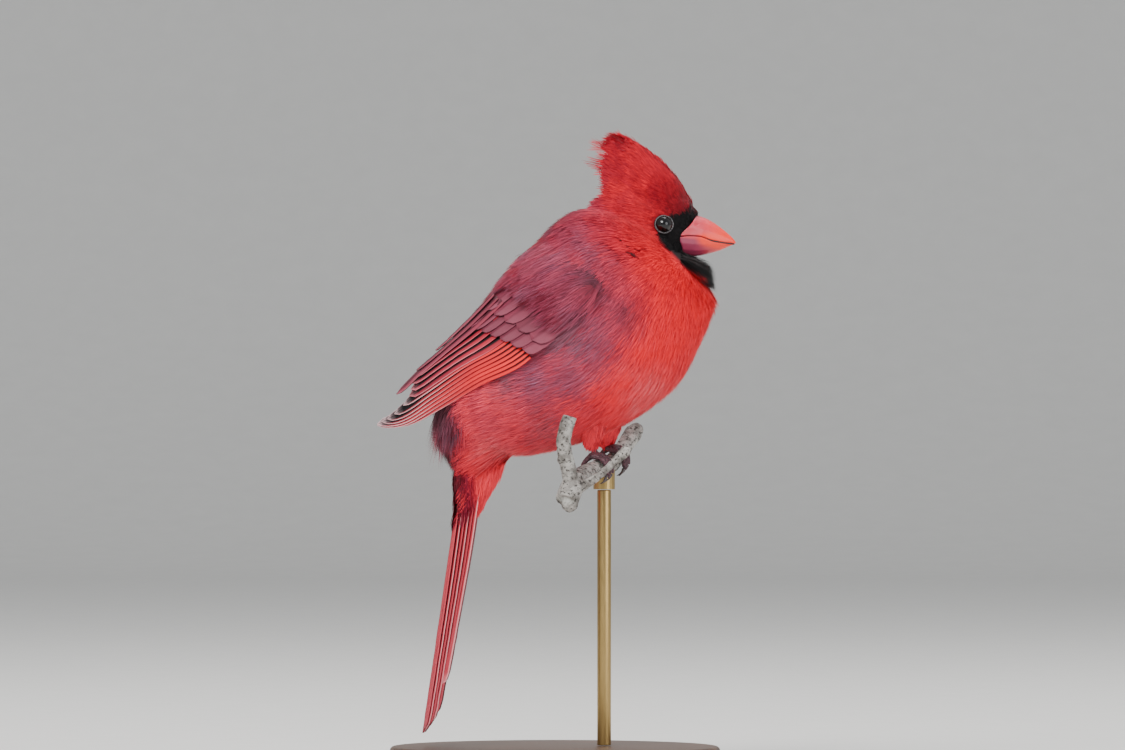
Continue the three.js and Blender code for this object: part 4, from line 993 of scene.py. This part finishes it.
# Leg feathers: a sleeve of soft down round each leg, which comes out of the belly and thins towards the foot. Its
# feathers are rooted in rings that draw in from the belly to the bare leg.
leg_tops = np.array([((low + high) / 2 * 1000)[:] for low, high in (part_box("leg_left"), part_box("leg_right"))])
SLEEVE = 260
turns = chance.uniform(0, 2 * math.pi, SLEEVE)
tier = chance.random(SLEEVE)
ring = np.stack([np.cos(turns), np.sin(turns), np.full(SLEEVE, -0.25)], -1)
fluff_roots = np.concatenate([
    (top[0], top[1], 0) + ring * (5.2 - 3.4 * tier[:, None]) + np.stack([0 * tier, 0 * tier, 127.0 - 7.5 * tier], -1)
    for top in leg_tops
])
fluff_count = len(fluff_roots)
fluff_body = np.tile(DYES["coral"], (fluff_count, 1)) * chance.uniform(0.86, 1.02, (fluff_count, 1))
fluff = grow_feathers(
    "leg_fluff", fluff_roots, np.concatenate([ring, ring]), np.tile((-0.25, 0, -1.0), (fluff_count, 1)),
    chance.uniform(2.8, 4.6, fluff_count), np.full(fluff_count, 0.5), np.full(fluff_count, 2.2),
    fluff_body, fluff_body * 1.05 + 8,
)
fluff.data.materials.append(soft_plumage)
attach(fluff, "root")

# Crest wisps and ridge: thin feathers that stand free of the crest's rear edge, and a keel of short ones along its
# ridge. Both are rooted in the skin and lie flat in the bird's middle plane, as a raised crest is pressed thin.
wisp_roots, _ = scattered(skin, 40, lambda p: np.full(len(p), 1.4), lambda c: (c[:, 0] < 23) & (c[:, 2] > 216))
wisp_count = len(wisp_roots)
wisp_long = chance.uniform(5, 12, wisp_count)
wisp_ahead = np.stack([
    np.full(wisp_count, -1.0), chance.normal(0, 0.12, wisp_count), chance.normal(0.22, 0.16, wisp_count),
], -1)
wisp_body = np.tile(DYES["crimson"], (wisp_count, 1))
on_ridge = (np.abs(skin_points[:, 1]) < 0.9) & (skin_points[:, 2] > 203.5) & (skin_points[:, 0] > 24)
ridge_roots = skin_points[on_ridge] * (1, 0.5, 1)
ridge_roots = ridge_roots[chance.choice(len(ridge_roots), 260)]
ridge_flow, ridge_long, _, ridge_body = plumage_at(ridge_roots)
ridge_normal = np.array([v.normal for v in skin.data.vertices])[on_ridge].mean(0)
both = wisp_count + len(ridge_roots)
wisps = grow_feathers(
    "crest_wisps", np.concatenate([wisp_roots, ridge_roots]), np.tile((0.1, -1.0, 0.1), (both, 1)),
    np.concatenate([wisp_ahead, ridge_flow + 0.1 * ridge_normal]), np.concatenate([wisp_long, ridge_long * 0.7]),
    np.concatenate([chance.uniform(-0.6, 0.6, wisp_count), chance.uniform(-0.2, 0.2, len(ridge_roots))]),
    np.full(both, 0.7), np.concatenate([wisp_body, ridge_body]),
    np.concatenate([wisp_body * 1.2 + 14, ridge_body * 1.05 + 4]), fan=0.07, barbs=6, soft=False,
)
wisps.data.materials.append(soft_plumage)
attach(wisps, "root")


# Bill: two mandibles of smooth horn over bone, pink at the root and orange along the edges. Their roots flare out of
# the face, and the corner of the mouth is drawn back towards the eye.
def copied(name, *nodes):
    """A merged copy of solids, as a start for a finer piece."""
    copies = []
    for node in nodes:
        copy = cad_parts[node].copy()
        copy.data = copy.data.copy()
        copy.parent = None
        for key in list(copy.keys()):
            del copy[key]
        bpy.context.scene.collection.objects.link(copy)
        copies.append(copy)
    piece = joined(name, copies)
    piece.data.materials.clear()
    turn_out(piece)
    return piece


def softened(name, nodes, voxel, smooth, repeats):
    """A copy of solids with its edges rounded off."""
    piece = copied(name, *nodes)
    finish_with(piece, "REMESH", mode="VOXEL", voxel_size=voxel)
    finish_with(piece, "SMOOTH", factor=smooth, iterations=repeats)
    bpy.ops.object.select_all(action="DESELECT")
    piece.select_set(True)
    bpy.context.view_layer.objects.active = piece
    bpy.ops.object.shade_smooth()
    return piece


def bill_finish():
    """Polished horn, mauve at the root and under the lower mandible, and orange at the tip and the mouth's edges."""
    material, tree, shader = new_finish(
        "bill horn", Coat_Weight=0.25, Coat_Roughness=0.2, Subsurface_Weight=0.05, Subsurface_Scale=0.002,
        Specular_IOR_Level=0.35,
    )
    where = on_object(tree)
    x, _, z = where.parts()
    forward = x.between(0.046, 0.0625)
    mouth = (z - 0.1915 + (x - 0.052) * 0.12).math("ABSOLUTE").between(0.0035, 0.0002)
    orange = (forward * 0.75 + mouth * forward.between(0.05, 0.5) * 0.7).between(0.1, 0.95)
    upper = blend(tree, orange, (202, 58, 76), (246, 46, 22))
    lower = blend(tree, orange, (152, 54, 82), (240, 48, 24))
    both = blend(tree, (z + (x - 0.05) * 0.13).between(0.1909, 0.1919), lower, upper)
    mottle = speckle(tree, where, 500.0)
    colour = add_node(tree, "ShaderNodeHueSaturation", {}, {"Value": 0.88 + mottle * 0.24, "Color": both})
    pores = bumped(tree, speckle(tree, where, 1400.0), 0.12, 0.0002)
    feed(tree, shader, Base_Color=colour, Roughness=0.3 + mottle * 0.15, Normal=pores)
    return material


def flared(points):
    """Widens the root of the bill and draws its corner back towards the eye, where the mouth ends."""
    share = np.clip(1 - bill_plane(points) / 4, 0, 1)[:, None] ** 1.5
    back = 0.7 + 3.6 * np.exp(-((points[:, 2:] - 192.3) ** 2) / 13.5)
    return points + share * np.concatenate([-back, 0.42 * points[:, 1:2], 0 * back], 1)


bill_horn = bill_finish()
for name in ("bill_upper", "bill_lower"):
    mandible = softened(name + "_horn", [name], 0.0002, 0.6, 8)
    move_points(mandible, flared(points_of(mandible)))
    mandible.data.materials.append(bill_horn)
    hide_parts(name)
    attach(mandible, "root")

# Mouth: the moist skin that lines it, painted dark as painted shade for the seam between the closed mandibles, where it
# shows as a line. It is a thin sheet that follows the edge of the upper one from the corner of the mouth to the bill's
# tip.
MOUTH_LINE = [(44.0, 189.2), (46.2, 191.2), (49.4, 192.6), (52.8, 192.3), (56.2, 191.0), (60.6, 190.2), (64.6, 189.75)]
MOUTH_ROWS, MOUTH_COLUMNS = 40, 9
LINING = 0.56  # how thick the sheet is, in millimetres
mouth_rows = through(MOUTH_LINE, np.linspace(0, len(MOUTH_LINE) - 1, MOUTH_ROWS))
mouth_wide = np.interp(mouth_rows[:, 0], (44, 50, 54, 58, 61, 63.5, 64.6), (4.9, 4.95, 4.6, 3.65, 2.4, 1.1, 0.35))
mouth_top = np.stack([
    np.repeat(mouth_rows[:, :1], MOUTH_COLUMNS, 1), mouth_wide[:, None] * np.linspace(-1, 1, MOUTH_COLUMNS)[None],
    np.repeat(mouth_rows[:, 1:] + LINING / 2, MOUTH_COLUMNS, 1),
], -1)
mouth_points, mouth_faces = closed_vane(mouth_top, np.tile((0, 0, 1.0), (MOUTH_ROWS, 1)), LINING)
mouth_count = len(mouth_points)
lower_face = np.arange(mouth_count) >= mouth_count // 2
mouth_map = np.c_[(mouth_points[:, 0] - 43) / 22, (mouth_points[:, 1] + 6) / 26 + 0.5 * lower_face]
mouth_shade_colour = np.tile((40, 16, 18), (mouth_count, 1))
mouth = mesh_piece("mouth_lining_shade", flared(mouth_points) * 0.001, mouth_faces, mouth_shade_colour, None, mouth_map)
turn_out(mouth)
# The lining's dark reds are painted shade for the seam between the mandibles.
material, tree, shader = new_finish("mouth lining shade")
damp = speckle(tree, on_object(tree), 800.0)
feed(tree, shader, Base_Color=blend(tree, damp, (34, 12, 14), (70, 26, 28)), Roughness=0.3 + damp * 0.3)
mouth.data.materials.append(material)
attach(mouth, "root")

# Eyes: a wet dark ball with a clear bulge in front, which looks out to the side and a little ahead. It sits in a thin
# rim of bare grey skin, the lid, where the feathers end.
GAZE = np.array((0.28, 0.95, 0.04)) / np.linalg.norm((0.28, 0.95, 0.04))


def eye_finish():
    """A dark brown iris round a black pupil, all wet."""
    material, tree, shader = new_finish(
        "eye", Roughness=0.08, Specular_IOR_Level=0.3, Coat_Weight=0.35, Coat_Roughness=0.02
    )
    where = on_object(tree)
    x, y, z = where.parts()
    middle = add_node(tree, "ShaderNodeCombineXYZ", {}, [x, y.math("ABSOLUTE"), z])
    front = tuple((EYE + GAZE * 3.6) * 0.001)
    apart = add_node(tree, "ShaderNodeVectorMath", {"operation": "DISTANCE"}, {0: middle, 1: front}, 1)
    iris = blend(tree, speckle(tree, where, 2500.0), (9, 6, 6), (24, 14, 11))
    feed(tree, shader, Base_Color=blend(tree, apart.between(0.0014, 0.0017), (4, 3, 4), iris))
    return material


def lid_finish():
    """Bare skin in fine dark and grey beads."""
    material, tree, shader = new_finish("lid", Roughness=0.5)
    grain = speckle(tree, on_object(tree), 2600.0)
    beads = blend(tree, grain.between(0.35, 0.65), (24, 20, 22), (104, 100, 102))
    feed(tree, shader, Base_Color=beads, Normal=bumped(tree, grain, 0.5, 0.0001))
    return material


def set_facing(piece, gaze, place):
    """Turns a piece's own upward side along the gaze, and puts it in its place."""
    piece.rotation_mode = "QUATERNION"
    piece.rotation_quaternion = gaze.to_track_quat("Z", "Y")
    piece.location = place
    bpy.ops.object.transform_apply(location=True, rotation=True, scale=True)
    bpy.ops.object.shade_smooth()


eye_ball, lid_rim = eye_finish(), lid_finish()
for side, name in ((1, "left"), (-1, "right")):
    gaze = Vector((GAZE[0], side * GAZE[1], GAZE[2]))
    centre = Vector((EYE[0], side * EYE[1], EYE[2])) * 0.001
    ball = begun("eye_ball_" + name, bpy.ops.mesh.primitive_uv_sphere_add, segments=48, ring_count=32, radius=0.0036)
    for vertex in ball.data.vertices:
        vertex.co *= 1 + 0.07 * max(0.0, vertex.co.normalized().z - 0.82) / 0.18
    set_facing(ball, gaze, centre)
    ball.data.materials.append(eye_ball)
    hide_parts("eye_" + name)
    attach(ball, "root")
    lid = begun(
        "lid_" + name, bpy.ops.mesh.primitive_torus_add,
        major_segments=56, minor_segments=12, major_radius=0.0032, minor_radius=0.00024,
    )
    for vertex in lid.data.vertices:
        ripple = 0.00006 * math.sin(9 * math.atan2(vertex.co.y, vertex.co.x))
        vertex.co = Vector((vertex.co.x * 1.05, vertex.co.y * 0.97, vertex.co.z * 1.25 + ripple))
    set_facing(lid, gaze, centre + gaze * 0.0019)
    lid.data.materials.append(lid_rim)
    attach(lid, "root")


# Legs and feet: thin scaled skin over bone and tendon, dark purple-brown. Three toes reach over the twig and the hind
# one under it, and each ends in a curved claw of horn that holds on to the bark.
def leg_finish():
    """Dry skin in small dark-edged scales."""
    material, tree, shader = new_finish("scaled leg", Specular_IOR_Level=0.4)
    where = on_object(tree)
    scales = add_node(tree, "ShaderNodeTexVoronoi", {"feature": "DISTANCE_TO_EDGE"}, {"Vector": where, "Scale": 1100.0})
    plate = scales.between(0.0, 0.12)
    tone = speckle(tree, where, 350.0)
    scaled = blend(tree, plate, (34, 20, 26), blend(tree, tone, (62, 36, 46), (108, 70, 78)))
    feed(tree, shader, Base_Color=scaled, Roughness=0.42 + tone * 0.25, Normal=bumped(tree, plate, 0.6, 0.0003))
    return material


def claw_finish():
    """Dark polished horn."""
    material, tree, shader = new_finish("claw horn", Coat_Weight=0.3)
    tone = speckle(tree, on_object(tree), 900.0)
    feed(tree, shader, Base_Color=blend(tree, tone, (26, 18, 20), (66, 48, 50)), Roughness=0.25 + tone * 0.2)
    return material


scaled_leg, claw_horn = leg_finish(), claw_finish()
TOES = ("hind", "inner", "middle", "outer")
for side in ("left", "right"):
    foot = softened("scaled_foot_" + side, ["leg_" + side, "foot_" + side], 0.00024, 0.5, 6)
    foot.data.materials.append(scaled_leg)
    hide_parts("leg_" + side, "foot_" + side)
    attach(foot, "root")
    claws = softened("horn_claws_" + side, [f"claw_{side}_{toe}" for toe in TOES], 0.00016, 0.4, 4)
    claws.data.materials.append(claw_horn)
    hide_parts(*[f"claw_{side}_{toe}" for toe in TOES])
    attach(claws, "root")


# Perch: a pale grey twig with rough, lichened bark, cut square at both ends and on its upright shoot. It rests in the
# cup of the stand. Its bark is raised and pitted all over by less than a millimetre.
def bark_finish():
    """Grey bark with dark cracks along the twig, pale lichen and a little moss."""
    material, tree, shader = new_finish("lichened bark", Specular_IOR_Level=0.25)
    where = on_object(tree)
    pits = speckle(tree, where, 1500.0, 5.0, 0.7)
    blotch = speckle(tree, where, 260.0, 4.0, 0.6)
    streaks = speckle(tree, stretched(tree, where, 1.0, 0.45, 1.0), 1050.0, 3.0, 0.6)
    bark = blend(tree, blotch.between(0.35, 0.65), (104, 99, 94), (164, 159, 153))
    fleck = blend(tree, streaks.between(0.54, 0.62) * 0.85, bark, (46, 42, 40))
    lichen = blend(tree, speckle(tree, where, 110.0).between(0.58, 0.66) * 0.6, fleck, (190, 189, 182))
    mossy = blend(tree, speckle(tree, where, 70.0).between(0.6, 0.7) * 0.5, lichen, (128, 138, 112))
    relief = pits * 0.4 + blotch * 0.4 - streaks.between(0.55, 0.66) * 0.5
    feed(tree, shader, Base_Color=mossy, Roughness=0.8 + pits * 0.15, Normal=bumped(tree, relief, 0.7, 0.0006))
    return material


perch = softened("twig", ["perch"], 0.00045, 0.5, 2)
twig_points = np.array([v.co for v in perch.data.vertices])
twig_out = np.array([v.normal for v in perch.data.vertices])
rough = np.array([noise.noise(Vector(p) * 220) * 0.5 + noise.noise(Vector(p) * 682) * 0.28 for p in twig_points])
twig_points = twig_points + twig_out * 0.00034 * (rough[:, None] - 0.2)
perch.data.vertices.foreach_set("co", twig_points.astype(np.float32).ravel())
perch.data.update()
perch.data.materials.append(bark_finish())
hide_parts("perch")
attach(perch, "root")


# Stand: a turned disc of oiled hardwood that stands on its flat underside, and a satin brass rod that is set into
# its middle. The rod ends in a small brass cup, which carries the twig from below.
def wood_finish():
    """Oiled dark wood with its grain and pores along x."""
    material, tree, shader = new_finish("oiled wood", Coat_Weight=0.25, Coat_Roughness=0.25)
    where = on_object(tree)
    grain = speckle(tree, stretched(tree, where, 7.0, 90.0, 90.0), 6.0, 6.0, 0.6)
    pores = speckle(tree, stretched(tree, where, 25.0, 400.0, 400.0), 5.0)
    tone = blend(tree, grain.between(0.3, 0.7), (52, 33, 24), (98, 66, 46))
    colour = blend(tree, pores.between(0.62, 0.7) * 0.6, tone, (30, 18, 13))
    feed(tree, shader, Base_Color=colour, Roughness=0.4 + grain * 0.2, Normal=bumped(tree, pores, 0.15, 0.0003))
    return material


def brass_finish():
    """Brass brushed along the rod."""
    material, tree, shader = new_finish("satin brass", Metallic=1.0)
    brushed = speckle(tree, stretched(tree, on_object(tree), 300.0, 300.0, 30.0), 6.0)
    feed(tree, shader, Base_Color=blend(tree, brushed, (150, 124, 76), (186, 158, 104)), Roughness=0.26 + brushed * 0.2)
    return material


DISC_RADIUS, DISC_HEIGHT = 0.0595, 0.009
disc = begun(
    "wood_disc", bpy.ops.mesh.primitive_cylinder_add,
    vertices=128, radius=DISC_RADIUS, depth=DISC_HEIGHT, location=(0, 0, DISC_HEIGHT / 2),
)
bpy.ops.object.mode_set(mode="EDIT")
bpy.ops.mesh.select_all(action="DESELECT")
bpy.ops.object.mode_set(mode="OBJECT")
for face in disc.data.polygons:
    face.select = face.normal.z > 0.9
bpy.ops.object.mode_set(mode="EDIT")
bpy.ops.mesh.bevel(offset=0.0016, segments=5, affect="EDGES")
bpy.ops.object.mode_set(mode="OBJECT")
bpy.ops.object.transform_apply(location=True, rotation=True, scale=True)
bpy.ops.object.shade_smooth_by_angle(angle=math.radians(35))
disc.data.materials.append(wood_finish())
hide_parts("stand_base")
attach(disc, "root")

satin_brass = brass_finish()
low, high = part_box("stand_rod")
rod = begun(
    "brass_rod", bpy.ops.mesh.primitive_cylinder_add,
    vertices=64, radius=(high.x - low.x) / 2, depth=high.z - low.z, location=(low + high) / 2,
)
bpy.ops.object.transform_apply(location=True, rotation=True, scale=True)
finish_with(rod, "BEVEL", width=0.0003, segments=3)
bpy.ops.object.shade_smooth_by_angle(angle=math.radians(35))
rod.data.materials.append(satin_brass)
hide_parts("stand_rod")
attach(rod, "root")
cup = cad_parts["stand_cup"]
cup.data.materials.clear()
cup.data.materials.append(satin_brass)

# Studio: a sheet of pale paper under the bird that curves up into a wall behind it, and three soft lamps above. The
# camera stands level with the bird, far off with a long lens, so that it is seen from the side.
FLOOR_END, SWEEP_RADIUS, WALL_TOP = 3.2, 1.1, 4.0
SWEEP_WIDTH, FLOOR_LENGTH, EDGE_SHARE = 14, 8.5, 0.1
sweep = begun("sweep", bpy.ops.mesh.primitive_grid_add, x_subdivisions=1, y_subdivisions=60, size=1)
for vertex in sweep.data.vertices:
    share = vertex.co.y + 0.5
    turn = min(max((share - EDGE_SHARE) / 0.8, 0), 1) * math.pi / 2
    y = FLOOR_END + SWEEP_RADIUS * math.sin(turn) - FLOOR_LENGTH * max(EDGE_SHARE - share, 0) / EDGE_SHARE
    z = SWEEP_RADIUS * (1 - math.cos(turn)) + (WALL_TOP - SWEEP_RADIUS) * max(share - 0.9, 0) / EDGE_SHARE
    vertex.co = Vector((vertex.co.x * SWEEP_WIDTH, y, z))
bpy.ops.object.shade_smooth()
material, tree, shader = new_finish("pale paper", Roughness=0.9)
feed(tree, shader, Base_Color=blend(tree, speckle(tree, on_object(tree), 60.0), (216, 214, 210), (224, 222, 218)))
sweep.data.materials.append(material)


def soft_light(name, place, size, power, colour):
    """A round lamp turned to the middle of the bird."""
    bpy.ops.object.light_add(type="AREA", location=place)
    lamp = bpy.context.object
    lamp.name = name
    lamp.data.shape = "DISK"
    lamp.data.size = size
    lamp.data.energy = power
    lamp.data.color = colour
    lamp.rotation_euler = (Vector(MIDDLE) - Vector(place)).to_track_quat("-Z", "Y").to_euler()


MIDDLE = (0.0, 0.0, 0.15)
soft_light("key", (-0.7, -1.5, 1.5), 1.1, 50, (1.0, 0.985, 0.97))
soft_light("fill", (1.5, -1.3, 0.6), 1.4, 19, (0.97, 0.98, 1.0))
soft_light("top", (0.2, 0.5, 1.7), 1.2, 24, (1.0, 1.0, 1.0))
world = bpy.data.worlds.new("studio")
bpy.context.scene.world = world
world.use_nodes = True
sky = world.node_tree.nodes["Background"].inputs
sky["Color"].default_value = (0.86, 0.9, 0.95, 1)
sky["Strength"].default_value = 0.62

bpy.ops.object.camera_add(location=(0.0027, -3.375, 0.1426), rotation=(math.pi / 2, 0, 0))
camera = bpy.context.object
camera.data.lens = 300
camera.data.sensor_width = 36
bpy.context.scene.camera = camera
